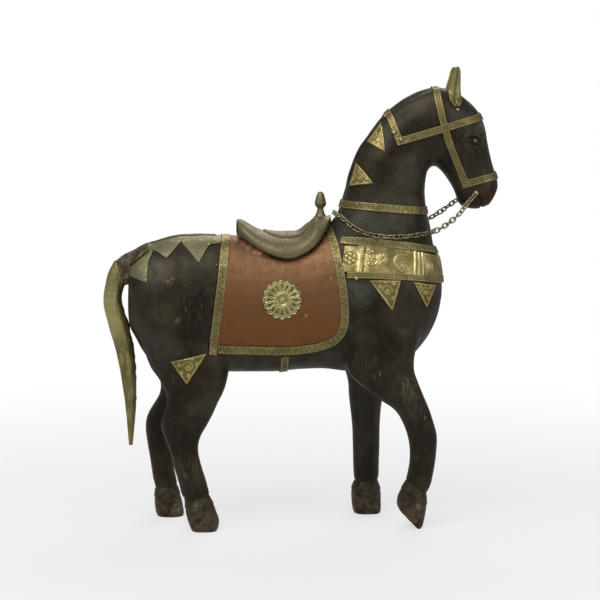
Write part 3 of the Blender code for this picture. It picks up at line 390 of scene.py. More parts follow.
EYE = (171.5, 382.8)
MOUTH = np.array([(176.6, 329.4), (179.2, 322.8), (181.6, 314.0)])
quarter(at_carving)
quarter(lambda x, y, z: ((np.hypot(x - EYE[0], z - EYE[1]) < 13) & (np.abs(y) > 8))
        | ((from_line(x, z, MOUTH)[0] < 3.5) & (x > 160)))

# %% [markdown]
# Now the carving itself. Each cut is a soft push along the surface's own direction, stronger in
# the middle of the cut and fading away from it: the groove under the mane, the almond round the
# eye, the mouth, the ring above each hoof, and the small hollows that a knife leaves. The muzzle
# is cut off flat below the nose, and the rim of each sole is rounded.

# %% Carve
def bump(distance, width):
    """A soft hill: 1 in the middle, fading within about twice the width."""
    return np.exp(-(distance / width) ** 2)


def directions_of(piece):
    """The outward direction at each corner."""
    flat = np.empty(len(piece.data.vertices) * 3, np.float32)
    piece.data.vertices.foreach_get("normal", flat)
    return flat.reshape(-1, 3).astype(float)


spots = corners_of(horse)
ways = directions_of(horse)
x, y, z = spots[:, 0] + SHIFT, spots[:, 1], spots[:, 2]
depth = np.zeros(len(spots))

away, share = from_line(x, z, CREST)
on_crest = (away < 14) * np.clip(share * 8, 0, 1) * np.clip((1 - share) * 8 + 0.2, 0, 1)
on_crest = on_crest * (z > 338)
depth += on_crest * (0.7 * bump(y, 5.5) - 1.1 * bump(np.abs(y) - 7.6, 2.0))

turn = math.radians(-22)
eye_x = (x - EYE[0]) * math.cos(turn) + (z - EYE[1]) * math.sin(turn)
eye_z = -(x - EYE[0]) * math.sin(turn) + (z - EYE[1]) * math.cos(turn)
almond = np.hypot(eye_x / 7.2, eye_z / 4.3)
at_eye = (np.abs(y) > 8) & (almond < 3)
depth += at_eye * (0.9 * bump(almond - 1.12, 0.2) - 1.1 * bump(almond - 0.74, 0.26))
depth -= at_eye * 0.7 * bump(np.hypot(eye_x + 3, eye_z - 8) / 4, 1.0)

mouth = from_line(x, z, MOUTH)[0]
depth -= 1.5 * bump(mouth, 1.0) * (x > 160) * (z < 334)

tilted = ((x - 113) * -0.545 + (z - 41.1) * -0.838)
level = 34.0 - z + 0.12 * (x + 104) * (x < 0)
ring = np.where((x > 88) & (y < 0), tilted, level)
at_hoof = (z < 58) & ((z < 46) | (x > 88))
depth += at_hoof * (-0.7 * bump(ring, 1.4) + 0.35 * bump(ring - 8.4, 1.5) - 0.3 * bump(ring - 11, 1.6))
band = at_hoof * np.clip((ring - 0.8) / 1.2, 0, 1) * np.clip((8.8 - ring) / 1.2, 0, 1)

coarse = np.array([noise.noise(Vector((px * 0.035, py * 0.035, pz * 0.022))) for px, py, pz in spots])
knife = np.array([noise.noise(Vector((px * 0.11, py * 0.11, pz * 0.05 + 7))) for px, py, pz in spots])
on_sole = z < 0.5
depth += (0.45 * coarse + 0.30 * knife) * ~on_sole
moved = spots + ways * depth[:, None]


def pressed(over, soft=0.8):
    """How far to push back what stands over a plane, with a soft edge."""
    return np.where(over > soft, over, np.clip(over + soft, 0, None) ** 2 / (4 * soft))


MUZZLE_CUT = (198.0, 336.0)
MUZZLE_WAY = np.array((0.886, -0.464))
over = (x - MUZZLE_CUT[0]) * MUZZLE_WAY[0] + (z - MUZZLE_CUT[1]) * MUZZLE_WAY[1]
moved[:, [0, 2]] -= pressed(np.where(x > 176, over, -9.0))[:, None] * MUZZLE_WAY
low_edge = np.clip(1 - moved[:, 2] / 2.6, 0, 1) ** 2
moved[:, :2] -= 1.1 * low_edge[:, None] * ways[:, :2]
moved[:, 2] = np.where(on_sole, spots[:, 2], np.maximum(moved[:, 2], SOLE_HEIGHT))
set_corners(horse, moved)
keep_number(horse, "carved", depth)
keep_number(horse, "band", band)
soften(horse, 50)
wood = tree_of(horse)
print("carved between", round(float(depth.min()), 2), "and", round(float(depth.max()), 2), "mm")

# %% [markdown]
# Every metal strip lies along a section through the horse: a plane tilted in the side view. Rays
# shot at the wood from outside, all round a point inside it, find the section's outline. The
# outline is then walked in even steps of half a millimetre, so a pattern keeps its pitch.

# %% Routes over the wood
STEP = 0.5
DOWN = Vector((0, 0, -1))


def section(a, b, share, reach):
    """From an angle to a place: 0 looks toward a, -90 at the right side, 90 at the left."""
    toward = Vector((a[0] - b[0], 0, a[1] - b[1]))
    centre = Vector((b[0] - SHIFT, 0, b[1])) + toward * share
    toward.normalize()

    def place(angle):
        way = toward * math.cos(math.radians(angle)) + Vector((0, math.sin(math.radians(angle)), 0))
        return wood.ray_cast(centre + way * reach, -way, reach)[0]

    return place, toward, centre


def even(places, step=STEP):
    """The same line, walked in even steps."""
    places = np.array([tuple(place) for place in places])
    gone = np.concatenate([[0.0], np.cumsum(np.linalg.norm(np.diff(places, axis=0), axis=1))])
    goals = np.linspace(0, gone[-1], int(round(gone[-1] / step)) + 1)
    return np.stack([np.interp(goals, gone, places[:, axis]) for axis in range(3)], axis=1)


def route(a, b, end, share=0.5, reach=90.0, step=STEP):
    """Over the horse from the right to the left, both ends at the side-view point end."""
    place, toward, centre = section(a, b, share, reach)
    goal = (Vector((end[0] - SHIFT, 0, end[1])) - centre).dot(toward)
    low, high = 3.0, 177.0
    for _ in range(30):
        middle = (low + high) / 2
        if (place(middle) - centre).dot(toward) > goal:
            low = middle
        else:
            high = middle
    return even([place(angle) for angle in np.linspace(-low, low, 300)], step)


def ring_route(a, b, reach=66.0):
    """The whole way round the horse, back to where it started."""
    place = section(a, b, 0.5, reach)[0]
    return even([place(angle) for angle in np.linspace(-180, 180, 400)])


def side_spot(sx, sz, side, tree=None):
    """The place on the flank that is seen at a side-view point."""
    start = Vector((sx - SHIFT, side * 150, sz))
    return (tree or wood).ray_cast(start, Vector((0, -side, 0)), 150)[0]


def steadied(values, width):
    """A running mean along the rows, with the ends kept."""
    padded = np.pad(values, [(width, width)] + [(0, 0)] * (values.ndim - 1), mode="edge")
    total = np.cumsum(np.concatenate([np.zeros((1,) + padded.shape[1:]), padded]), axis=0)
    span = 2 * width + 1
    return (total[span:] - total[:-span]) / span


def unit(vectors):
    """The same directions with a length of one."""
    return vectors / np.maximum(np.linalg.norm(vectors, axis=-1, keepdims=True), 1e-9)


# %% [markdown]
# A strip is a ribbon of sheet brass. Its middle line is the route; across it, rays find the wood
# under each corner. The punched pattern is raised in the grid itself: two beads along the edges
# and a figure between them. Solidify then gives the sheet its thickness, towards the wood.

# %% Ribbons of sheet metal
SHEET = 0.6


def feet_under(line, beside, up, reach):
    """For each corner of a ribbon, the wood below it and the wood's direction there."""
    feet = np.empty(reach.shape + (3,))
    lean = np.empty(reach.shape + (3,))
    for r in range(reach.shape[0]):
        above = Vector(up[r]) * 14
        for c in range(reach.shape[1]):
            spot = Vector(line[r] + beside[r] * reach[r, c])
            found = wood.ray_cast(spot + above, -above.normalized(), 28)
            if found[0] is None:
                found = wood.find_nearest(spot)
            feet[r, c] = found[0]
            lean[r, c] = found[1]
    return feet, lean


def ribbon(name, line, width, pattern, columns=15, lift=0.45, thick=0.8, shift=0.0, closed=False):
    """A strip along a line. Width, shift and lift are numbers or one value for each step."""
    count = len(line)
    if closed:
        line = np.concatenate([line[:-1], line[:1]])
    along = unit(np.gradient(line, axis=0))
    if closed:
        along[0] = along[-1] = unit(line[1] - line[-2])
    along = unit(steadied(along, 6))
    up = np.array([tuple(wood.find_nearest(Vector(place))[1]) for place in line])
    up = unit(steadied(up, 8))
    beside = unit(np.cross(along, up))
    up = np.cross(beside, along)
    widths = np.broadcast_to(width, (count,))
    shifts = np.broadcast_to(shift, (count,))
    lifts = np.broadcast_to(lift, (count,))
    t = np.linspace(-1, 1, columns)
    reach = t[None, :] * widths[:, None] / 2 + shifts[:, None]
    feet, lean = feet_under(line, beside, up, reach)
    lean = unit(steadied(lean, 4))
    gone = np.concatenate([[0.0], np.cumsum(np.linalg.norm(np.diff(line, axis=0), axis=1))])
    s = np.repeat(gone[:, None] - gone[-1] / 2, columns, axis=1)
    v = t[None, :] * widths[:, None] / 2
    high = pattern(s, v, widths[:, None] / 2)
    places = feet + lean * (lifts[:, None] + thick + high)[..., None]
    piece, row, column = lay(name, places, np.stack([s, v], axis=2), lean)
    keep_number(piece, "relief", high[row, column])
    if closed:
        mend(piece, outward=False)
    apply_modifiers(thicken(piece, thick))
    soften(piece, 50)
    print(name, len(piece.data.polygons), "faces,", round(float(gone[-1])), "mm long")
    return piece


# %% [markdown]
# Each pattern is a sum of soft hills. It takes the distance along a strip and the one across it,
# and gives the height of the metal there. A slow noise keeps the punch marks uneven.

# %% Punched patterns
BEAD_INSET = 0.75


def edge_beads(v, half, high=0.34):
    """A raised bead along each edge of a strip."""
    return high * bump(np.abs(v) - (half - BEAD_INSET), 0.36)


def saw(value):
    """A zigzag between -1 and 1 with a period of 1."""
    return 4 * np.abs(value - np.floor(value + 0.5)) - 1


def uneven(s, v, size):
    """The unsteady hand of the punch, between about -1 and 1."""
    return np.array([[noise.noise(Vector((a / size, b / size, 3.7))) for a, b in zip(*row)]
                     for row in zip(s, v)])


def repeat(value, pitch):
    """How far a place is from the nearest multiple of the pitch."""
    return value - np.rint(value / pitch) * pitch


def zigzag_strip(s, v, half):
    """A running vine: a wavy stem with a dot or a small leaf in each bend."""
    pitch = 7.4
    room = half - 1.7
    stem = v - room * 0.55 * np.sin(2 * math.pi * s / pitch)
    leaf = np.hypot(repeat(s - pitch / 4, pitch) / 1.3, v + room * 0.42)
    other = np.hypot(repeat(s + pitch / 4, pitch) / 1.3, v - room * 0.42)
    dots = np.hypot(repeat(s, 1.85), np.abs(v) - room + 0.2)
    high = 0.26 * bump(stem, 0.34) + 0.30 * (bump(leaf, 0.62) + bump(other, 0.62)) + 0.16 * bump(dots, 0.4)
    return edge_beads(v, half) + high * (0.75 + 0.5 * uneven(s, v, 4.0))


def leaf_strip(s, v, half):
    """A row of slanted leaves with veins, between two lines of dots."""
    pitch = 5.0
    turn = repeat(s, pitch)
    slant = turn + 0.5 * v * np.sign(np.sin(math.pi * s / pitch / 2 + 0.1))
    leaf = np.hypot(slant / 1.8, v / (half - 1.6))
    dots = np.hypot(repeat(s, 1.7), np.abs(v) - half + 1.9)
    high = 0.28 * bump(leaf - 0.8, 0.2) + 0.2 * bump(slant, 0.28) * (leaf < 0.75) + 0.16 * bump(dots, 0.38)
    return edge_beads(v, half) + high * (0.75 + 0.5 * uneven(s, v, 4.0))


def plain_strip(s, v, half):
    """Only the beads, and a faint line of punch marks."""
    mark = np.hypot(repeat(s, 6.2), v)
    return edge_beads(v, half, high=0.26) - 0.12 * bump(mark, 0.8)


def sag(line, table):
    """Sideways shifts read from pairs of drawn x and shift; minus is upward."""
    return np.interp(line[:, 0] + SHIFT, [pair[0] for pair in table], [pair[1] for pair in table])


def bend(line, table):
    """Sideways shifts read from pairs of height and shift; minus is to the rear."""
    return np.interp(line[:, 2], [pair[0] for pair in table], [pair[1] for pair in table])


# %% [markdown]
# The bridle has four strips. The cheek strap goes over the poll and down both cheeks, the brow
# strap steps over it, the mane strap sits behind the brow strap's ends, and the noseband goes
# round the muzzle. Their ends are nailed.

# %% Bridle
strip_pieces = {}
nails = []


def nail_at(sx, sz, radius, high, look):
    """A nail on each flank at a side-view point, its head some way above the wood."""
    for side in (-1, 1):
        foot = side_spot(sx, sz, side)
        way = wood.find_nearest(foot)[1]
        nails.append((foot + way * high, way.normalized(), radius, look))


cheek = route((133.6, 437), (169.2, 324), (165.2, 336.9), 0.55, 70)
CHEEK_BEND = ((337, 0), (344, -0.8), (360, -3.0), (384, -5.4), (406, -4.8), (425, -2.2), (434, 0))
strip_pieces["cheek_strap"] = ribbon("cheek_strap_punched", cheek, 6.8, zigzag_strip,
                                     shift=bend(cheek, CHEEK_BEND),
                                     lift=np.interp(cheek[:, 2], (344, 351), (1.35, 0.45)))
brow = route((183, 407.8), (97.5, 382.6), (93.8, 381.5), 0.5, 75)
crossing = np.hypot(brow[:, 0] + SHIFT - 140.6, brow[:, 2] - 395.3)
corner = np.interp(brow[:, 0] + SHIFT, (101, 106), (1.35, 0.45))
strip_pieces["brow_strap"] = ribbon("brow_strap_punched", brow, 7.2, zigzag_strip,
                                    lift=np.maximum(corner, np.interp(crossing, (5.5, 11), (1.45, 0.45))))
mane = route((85.9, 413.2), (98.8, 376), (97.2, 380.6), 0.35, 60)
strip_pieces["mane_strap"] = ribbon("mane_strap_punched", mane, 6.6, leaf_strip)
nose = route((196, 348.4), (160, 339.8), (162.6, 340.4), 0.5, 50)
strip_pieces["noseband"] = ribbon("noseband_punched", nose, 7.4, zigzag_strip)

# %% [markdown]
# The neck band is a closed ring. The two breast strips go round the chest, slightly curved on
# each side, and the girth strap goes under the belly, with both ends just below the cloth.

# %% Neck band, breast strips and girth
neck = ring_route((39.8, 320.6), (125.0, 313.8))
strip_pieces["neck_band"] = ribbon("neck_band_punched", neck, 7.7, leaf_strip, closed=True)
upper = route((134.5, 273.7), (38.6, 285.3), (38.8, 285.2), 0.45, 90)
strip_pieces["breast_band_upper"] = ribbon(
    "breast_band_upper_punched", upper, 7.4, leaf_strip, lift=1.1,
    shift=sag(upper, ((38, 0), (60, -2.4), (80, -2.9), (108, -2.7), (122, -1.7), (134, 0))))
lower = route((138, 245.4), (42.3, 252.4), (42.6, 252.4), 0.42, 90)
strip_pieces["breast_band_lower"] = ribbon(
    "breast_band_lower_punched", lower, 6.3, zigzag_strip, lift=1.1,
    shift=sag(lower, ((42, 0), (60, -1.4), (80, -1.8), (107, -2.0), (121, -1.5), (137, 0))))
girth = route((-17.3, 152), (-17.3, 285), (-17.3, 172.2), 0.5, 90)
strip_pieces["girth_strap"] = ribbon("girth_strap_punched", girth, 7.6, plain_strip)

# %% [markdown]
# Between the two breast strips lies the brightest piece, a broad panel beaten out from behind:
# a cluster of bosses at each end, a seam, scrolled groups, round medallions and upright ridges.
# The figures are set by their distance along the panel, the same on both sides of the chest.

# %% Breast panel
PANEL_STEP = 0.55
panel_line = route((138, 258.6), (40.5, 268.6), (39.4, 268.7), 0.42, 90, step=PANEL_STEP)
half_length = PANEL_STEP * (len(panel_line) - 1) / 2


def along_panel(drawn_place):
    """Distance from the middle of the chest to where the right side is at a drawn x."""
    right = panel_line[: len(panel_line) // 2]
    k = int(np.argmin(np.abs(right[:, 0] + SHIFT - drawn_place)))
    return half_length - PANEL_STEP * k


def ridge_ring(s, v, centre, high_place, radius, thick=0.55):
    """A round ridge about a place on the panel."""
    return bump(np.hypot(s - centre, v - high_place) - radius, thick)


def medallion(s, v, centre, radius):
    """A round figure: a bead ring, with a curling leaf inside."""
    away = np.hypot(s - centre, v)
    turn = np.arctan2(v, s - centre)
    leaf = np.cos(5 * turn + away * 0.55)
    inside = away < radius - 1.2
    curl = 0.55 * bump(leaf - 0.5, 0.45) * inside * np.clip(away / 3, 0, 1)
    return 1.0 * bump(away - radius, 0.7) + curl + 0.8 * bump(away, 1.3)


def curls(m, v, centre, high_place, radius, count):
    """A ring of small curls round a place."""
    high = np.zeros_like(m)
    for k in range(count):
        turn = 2 * math.pi * k / count + centre
        away = np.hypot(m - centre - radius * math.cos(turn), v - high_place - radius * math.sin(turn))
        high = np.maximum(high, 0.75 * bump(away - 1.15, 0.42) + 0.5 * bump(away, 0.4))
    return high


def panel_relief(s, v, half):
    """Beaten figures of the breast panel."""
    m = np.abs(s)
    cluster = along_panel(46.4)
    high = np.zeros_like(m)
    for k in range(7):
        turn = math.pi / 3 * k + 0.5
        ring = 0.0 if k == 6 else 4.5
        away = np.hypot(m - cluster - ring * math.cos(turn), v - ring * math.sin(turn))
        high = np.maximum(high, 1.7 * np.sqrt(np.clip(1 - (away / 2.0) ** 2, 0, 1)))
    cluster_away = np.hypot(m - cluster, v)
    high -= 0.35 * (high < 0.2) * (cluster_away < 7.4)
    seam = along_panel(59.6)
    high += (1.1 * bump(m - seam - 3.4, 2.3) - 0.8 * bump(m - seam + 0.2, 0.6)
             + 0.6 * bump(m - seam + 3.4, 2.4))
    high += 0.6 * ridge_ring(m, v, seam + 3.2, -7.4, 1.5) + 0.6 * ridge_ring(m, v, seam - 4.6, -7.6, 1.8)
    high += 0.9 * bump(np.hypot(m - seam + 2.6, v - 6.8), 1.1)
    first = along_panel(72.6)
    high += (0.75 * ridge_ring(m, v, first + 2.6, 1.4, 3.0)
             + 0.6 * bump(np.hypot(m - first - 2.6, v - 1.4), 1.1))
    high += curls(m, v, first + 2.6, 1.4, 5.2, 9) * (v < 6) + curls(m, v, first - 5.6, -1.5, 3.4, 6)
    circle = along_panel(98.6)
    away = np.hypot(m - circle, (v - 0.4) * 1.05)
    high += 1.0 * bump(away - 9.0, 0.9) * (m > circle - 3) + 0.5 * bump(away - 9.0, 0.6)
    scales = bump(saw((m - circle) / 4.2 + 0.5 * np.floor((v + 20) / 2.4)) * 1.2 + repeat(v, 2.4) / 0.9, 0.6)
    high += 0.55 * scales * (away < 7.6)
    for place, size, wide in ((110.6, 1.4, 1.2), (114.8, 1.0, 1.0), (118.4, 1.0, 0.9)):
        high += size * bump(m - along_panel(place) - 0.06 * v, wide)
    last = along_panel(125.5)
    high += 0.6 * bump(np.sin(2.6 * (m - last) + 0.25 * v * v) - 1, 0.8) * (np.abs(m - last) < 5.4)
    high += medallion(m, v, 0.0, 7.6) * 0.8 + curls(m, v, 0.0, 0.0, 9.2, 12) * 0.8
    return high * (0.9 + 0.25 * uneven(s, v, 7.0)) + 0.45 * uneven(s, v, 16.0)


panel_width = sag(panel_line, ((40, 26.6), (80, 26.8), (108, 24.8), (122, 23.4), (136, 22.6)))
breast_panel = ribbon("breast_panel_beaten", panel_line, panel_width, panel_relief, columns=42, thick=SHEET,
                      shift=sag(panel_line, ((41, 0), (60, -1.8), (80, -2.3), (108, -2.3), (122, -1.5),
                                             (136, 0))))

# %% [markdown]
# Small triangles of brass point down from the breast band, up and back from the crest and down
# from the thigh. Each is a grid that narrows from its base to its tip. A bead runs round the
# edge, and a round scroll with smaller curls about it is punched in the middle.

# %% Triangles
def plate(name, corners, side, rows=48, columns=44, tip=0.05, lift=0.45, thick=SHEET):
    """A triangle on one flank, from its two base corners to its tip."""
    (x1, z1), (x2, z2), (x3, z3) = corners
    t = np.linspace(0, 1 - tip, rows)[:, None]
    s = np.linspace(0, 1, columns)[None, :]
    px = (x1 + (x2 - x1) * s) * (1 - t) + x3 * t
    pz = (z1 + (z2 - z1) * s) * (1 - t) + z3 * t
    base = math.hypot(x2 - x1, z2 - z1)
    area = abs((x2 - x1) * (z3 - z1) - (x3 - x1) * (z2 - z1))
    gap_base = t * area / base + 0 * s
    gap_left = s * (1 - t) * area / math.hypot(x3 - x1, z3 - z1)
    gap_right = (1 - s) * (1 - t) * area / math.hypot(x3 - x2, z3 - z2)
    nearest = np.minimum(np.minimum(gap_base, gap_left), gap_right)
    mid_x, mid_z = (x1 + x2 + x3) / 3, (z1 + z2 + z3) / 3
    away = np.hypot(px - mid_x, pz - mid_z)
    turn = np.arctan2(pz - mid_z, px - mid_x)
    size = area / (base + math.hypot(x3 - x1, z3 - z1) + math.hypot(x3 - x2, z3 - z2))
    high = 0.36 * bump(nearest - 1.0, 0.45) + 0.35 * bump(away, size * 0.16)
    high += 0.3 * bump(away - size * (0.44 + 0.05 * turn), 0.45) * (away < size * 0.66)
    high += 0.55 * curls(px, pz, mid_x, mid_z, size * 0.95, 7) * (nearest > 1.7)
    high *= 0.8 + 0.5 * uneven(px, pz, 3.0)
    feet = np.empty(px.shape + (3,))
    lean = np.empty(px.shape + (3,))
    for r in range(rows):
        for c in range(columns):
            feet[r, c] = side_spot(px[r, c], pz[r, c], side)
            lean[r, c] = wood.find_nearest(Vector(feet[r, c]))[1]
    lean = unit(steadied(lean, 4))
    places = feet + lean * (lift + thick + high)[..., None]
    piece, row, column = lay(name, places, np.stack([px, pz], axis=2), lean)
    keep_number(piece, "relief", high[row, column])
    apply_modifiers(thicken(piece, thick))
    return soften(piece, 50)


PLATES = {
    "breast_point_rear": ((64.6, 247.6), (95.6, 247.2), (87.5, 217.0)),
    "breast_point_front": ((108, 245.4), (132.6, 241.4), (122.2, 218.7)),
    "crest_plate_upper": ((66.4, 381.6), (80.4, 401.0), (82.6, 371.8)),
    "crest_plate_lower": ((48.6, 338.4), (55.4, 361.6), (70.6, 341.4)),
    "thigh_plate": ((-129.6, 169.4), (-94.6, 177.0), (-114.3, 146.6)),
}
plate_pieces = {}
for plate_name, corners in PLATES.items():
    for side, word in ((-1, "right"), (1, "left")):
        node = plate_name + "_" + word
        plate_pieces[node] = plate(node + "_punched", corners, side)
    middle = (sum(c[0] for c in corners) / 3, sum(c[1] for c in corners) / 3)
    for corner in corners:
        nail_at(corner[0] + (middle[0] - corner[0]) * 0.2, corner[1] + (middle[1] - corner[1]) * 0.2, 0.95,
                1.2, "dull nail")
print(len(plate_pieces), "triangles")

# %% [markdown]
# The saddle cloth is a copper sheet over the back. Its columns are sections of the horse; the
# lower front corner is round. Copper is soft, so the sheet keeps shallow dents, and a crumpled
# lip stands up below the saddle on the right side.

# %% Saddle cloth
CLOTH_FOOT = [(-92.2, 177.8), (-74, 177), (-52, 176.2), (-28, 175.6), (-6, 175.8), (13, 178.4),
              (26.4, 182.2), (35.8, 187.6), (40.4, 195.8), (42.8, 206), (43.2, 225)]
CLOTH_TOP = [-75.8, -64, -48, -30, -13, 1, 10, 17, 22, 26, 29.6]
cloth_rows = []
for foot_x, foot_z, top_x in between([(a, b, c) for (a, b), c in zip(CLOTH_FOOT, CLOTH_TOP)], 110):
    line = route((top_x, 297), (foot_x, foot_z), (foot_x, foot_z), 0.36, 110, step=1.0)
    place = np.linspace(0, len(line) - 1, 210)
    cloth_rows.append(np.stack([np.interp(place, range(len(line)), line[:, k]) for k in range(3)], axis=1))
cloth_feet = np.array(cloth_rows)
cloth_lean = np.array([[tuple(wood.find_nearest(Vector(foot))[1]) for foot in row] for row in cloth_feet])
cloth_lean = unit(steadied(cloth_lean, 2))
dents = np.array([[noise.noise(Vector(foot) * 0.045) + 0.5 * noise.noise(Vector(foot) * 0.13)
                   for foot in row] for row in cloth_feet])
LIP = np.array([(-60.0, 288.5), (-52.0, 282.6), (-44.0, 276.8), (-33.0, 271.4)])
lip_away = from_line(cloth_feet[..., 0].ravel() + SHIFT, cloth_feet[..., 2].ravel(), LIP)[0]
crumple = np.array([[noise.noise(Vector(foot) * 0.35) for foot in row] for row in cloth_feet])
lip = bump(lip_away, 1.3).reshape(dents.shape) * (0.75 + 0.6 * crumple) * (cloth_feet[..., 1] < 0)
cloth_places = cloth_feet + cloth_lean * (1.0 + 0.22 * dents + 1.7 * lip)[..., None]
saddle_cloth, row, column = lay("saddle_cloth_copper", cloth_places, None, cloth_lean)
keep_number(saddle_cloth, "fold", lip[row, column])
apply_modifiers(thicken(saddle_cloth, SHEET))
soften(saddle_cloth, 50)
copper = tree_of(saddle_cloth)
print("saddle cloth", len(saddle_cloth.data.polygons), "faces")

# %% [markdown]
# Two strips edge the cloth. One goes down its rear edge on both sides. The other goes along the
# foot, up the front edge and over the back, and the same way down on the left. Nails hold both.

# %% Cloth borders
rear = route((-73.4, 295), (-89.6, 174.4), (-89.6, 175.6), 0.36, 110, step=0.6)
strip_pieces["cloth_border_rear"] = ribbon("cloth_border_rear_punched", rear, 8.2, leaf_strip, lift=1.15)
BORDER_FOOT = [(-84.9, 180.4), (-62, 179.6), (-40, 178.8), (-19, 178.3), (-2, 179.3), (13, 181.5),
               (24.6, 185.2), (33, 190.4), (38, 197.4), (40.3, 205.5), (40.8, 215.5), (39.9, 230),
               (38.2, 243)]
near = [side_spot(bx, bz, -1) for bx, bz in between(BORDER_FOOT, 140)]
far = [side_spot(bx, bz, 1) for bx, bz in between(BORDER_FOOT, 140)][::-1]
over = [Vector(place) for place in route((27.6, 303), (37.0, 252), (37.0, 252), 0.1, 90, step=1.5)]
front = steadied(even(near + over + far, 0.6), 5)
front_width = np.interp(front[:, 2], (179, 196), (9.2, 7.8))
strip_pieces["cloth_border_front"] = ribbon("cloth_border_front_punched", front, front_width, leaf_strip,
                                            lift=1.15)
for bx, bz in ((-84.5, 262), (-86.5, 215), (-80, 180.5), (-52, 179.4), (-4, 179.2), (28, 187.2),
               (40.4, 208), (39.6, 232), (36.4, 262)):
    nail_at(bx, bz, 0.95, 2.2, "dull nail")

# %% [markdown]
# On each side of the cloth sits a rosette, pressed from thin brass. Round a dish with a raised
# rim stand sixteen looped petals. The grid is wound round the centre, ring by ring, and its outer
# edge follows the ends of the petals.

# %% Rosettes
ROSETTE_CENTRE = (-20.8, 229.0)
PETALS = 16
LOOP = 2.55
LOOP_CENTRE = 16.0
LOOP_EDGE = 3.45


def rosette(name, side, rings=46, spokes=224):
    """A rosette on the cloth of one flank, wound ring by ring."""
    turn = np.linspace(0, 2 * math.pi, spokes + 1)[None, :]
    pitch = 2 * math.pi / PETALS
    off = (turn / pitch - np.rint(turn / pitch)) * pitch
    edge = LOOP_CENTRE + np.sqrt(np.clip(LOOP_EDGE ** 2 - (off * LOOP_CENTRE) ** 2, 0.4, None))
    r = np.linspace(0, 1, rings)[:, None] * edge
    a = np.abs(off) * r
    spread = 0.9 + (LOOP - 0.9) * np.clip((r - 8) / 8, 0, 1)
    side_of_loop = np.where(r < LOOP_CENTRE, np.abs(a - spread), np.abs(np.hypot(a, r - LOOP_CENTRE) - LOOP))
    high = 0.95 * bump(side_of_loop, 0.5) * np.clip((r - 7.4) / 1.5, 0, 1)
    high += 0.7 * bump(np.hypot(a, r - LOOP_CENTRE), 0.85)
    high += 1.9 * bump(r - 5.9, 0.8) + 0.7 * bump(r - 7.6, 0.45) + 0.7 * bump(r, 3.2) * (r < 5)
    high += 0.5 - 0.02 * r
    px = ROSETTE_CENTRE[0] + r * np.cos(turn)
    pz = ROSETTE_CENTRE[1] + r * np.sin(turn)
    middle = side_spot(ROSETTE_CENTRE[0], ROSETTE_CENTRE[1], side, copper)
    lean = wood.find_nearest(middle)[1]
    places = np.empty(px.shape + (3,))
    for i in range(px.shape[0]):
        for k in range(px.shape[1]):
            foot = side_spot(px[i, k], pz[i, k], side, copper)
            places[i, k] = foot + lean * (0.7 + high[i, k])
    flat = np.stack([r * np.cos(turn), r * np.sin(turn)], axis=2)
    piece, row, column = lay(name, places, flat, np.broadcast_to(np.array(lean), places.shape))
    keep_number(piece, "relief", (high - 0.5 + 0.02 * r)[row, column])
    mend(piece, outward=False)
    apply_modifiers(thicken(piece, SHEET))
    return soften(piece, 50)


rosettes = {"rosette_right": rosette("rosette_right_pressed", -1),
            "rosette_left": rosette("rosette_left_pressed", 1)}
print("rosettes of", PETALS, "petals")

# %% [markdown]
# The saddle is a smooth brass shell that rises to a cantle behind and a pommel in front, with a
# skirt on each side. Its outer face follows a few drawn sections. The grid is rolled on round the
# rim and back along the underside, which rests on the cloth, so the shell is closed.

# %% Saddle
SADDLE = [
    (-62.8, 292.6, 20.0, 305.0), (-57.5, 289.4, 26.0, 304.8), (-50.0, 284.0, 31.5, 300.4),
    (-42.0, 278.6, 35.5, 296.0), (-32.0, 273.8, 39.0, 292.6), (-21.0, 270.2, 41.0, 291.2),
    (-11.0, 269.6, 41.0, 291.4), (-1.5, 272.8, 39.5, 292.4), (7.5, 277.8, 37.0, 299.6),
    (14.0, 283.0, 34.0, 306.6), (20.5, 291.0, 28.0, 307.4), (26.0, 300.8, 20.0, 308.0),
    (30.2, 306.6, 11.0, 309.0),
]
SADDLE_AXIS_HEIGHT = 232
saddle_turns = np.linspace(0, math.pi, 73)
saddle_rows = between(SADDLE, 97)
outer = np.empty((len(saddle_rows), len(saddle_turns), 3))
inner = np.empty_like(outer)
for k, (sx, edge, half, crest) in enumerate(saddle_rows):
    for j, turn in enumerate(saddle_turns):
        point = Vector((sx - SHIFT, -half * math.cos(turn), edge + (crest - edge) * math.sin(turn) ** 0.85))
        way = (Vector((sx - SHIFT, 0, SADDLE_AXIS_HEIGHT)) - point).normalized()
        found = copper.ray_cast(point, way, 90)[0] or wood.ray_cast(point, way, 90)[0]
        rim = min(j, len(saddle_turns) - 1 - j) / 7.2
        most = float(np.interp(rim, (0, 1, 2, 3), (1.3, 4.0, 8.0, 25.0)))
        depth_here = max(min((found - point).length - 1.6, most), 1.1)
        outer[k, j] = point
        inner[k, j] = point + way * depth_here
shell = np.concatenate([outer, inner[:, ::-1], outer[:, :1]], axis=1)
saddle = mend(lay("saddle_smooth", shell)[0])


def close_crescents(piece, loops, half_count):
    """Close the two open ends of a rolled shell with a row of faces between its two sides."""
    body = bmesh.new()
    body.from_mesh(piece.data)
    finder = {tuple(np.round(np.array(vertex.co) / MM, 2)): vertex for vertex in body.verts}
    for loop in loops:
        found = [finder.get(tuple(np.round(place, 2))) for place in loop]
        for j in range(half_count - 1):
            ring = [found[j], found[j + 1], found[-2 - j - 1], found[-2 - j]]
            ring = [vertex for vertex in dict.fromkeys(ring) if vertex is not None]
            if len(ring) > 2 and body.faces.get(ring) is None:
                body.faces.new(ring)
    bmesh.ops.recalc_face_normals(body, faces=body.faces)
    body.to_mesh(piece.data)
    body.free()


close_crescents(saddle, (shell[0].astype(np.float32), shell[-1].astype(np.float32)), len(saddle_turns))
soften(saddle, 40)
saddle_tree = tree_of(saddle)
print("saddle", len(saddle.data.polygons), "faces")

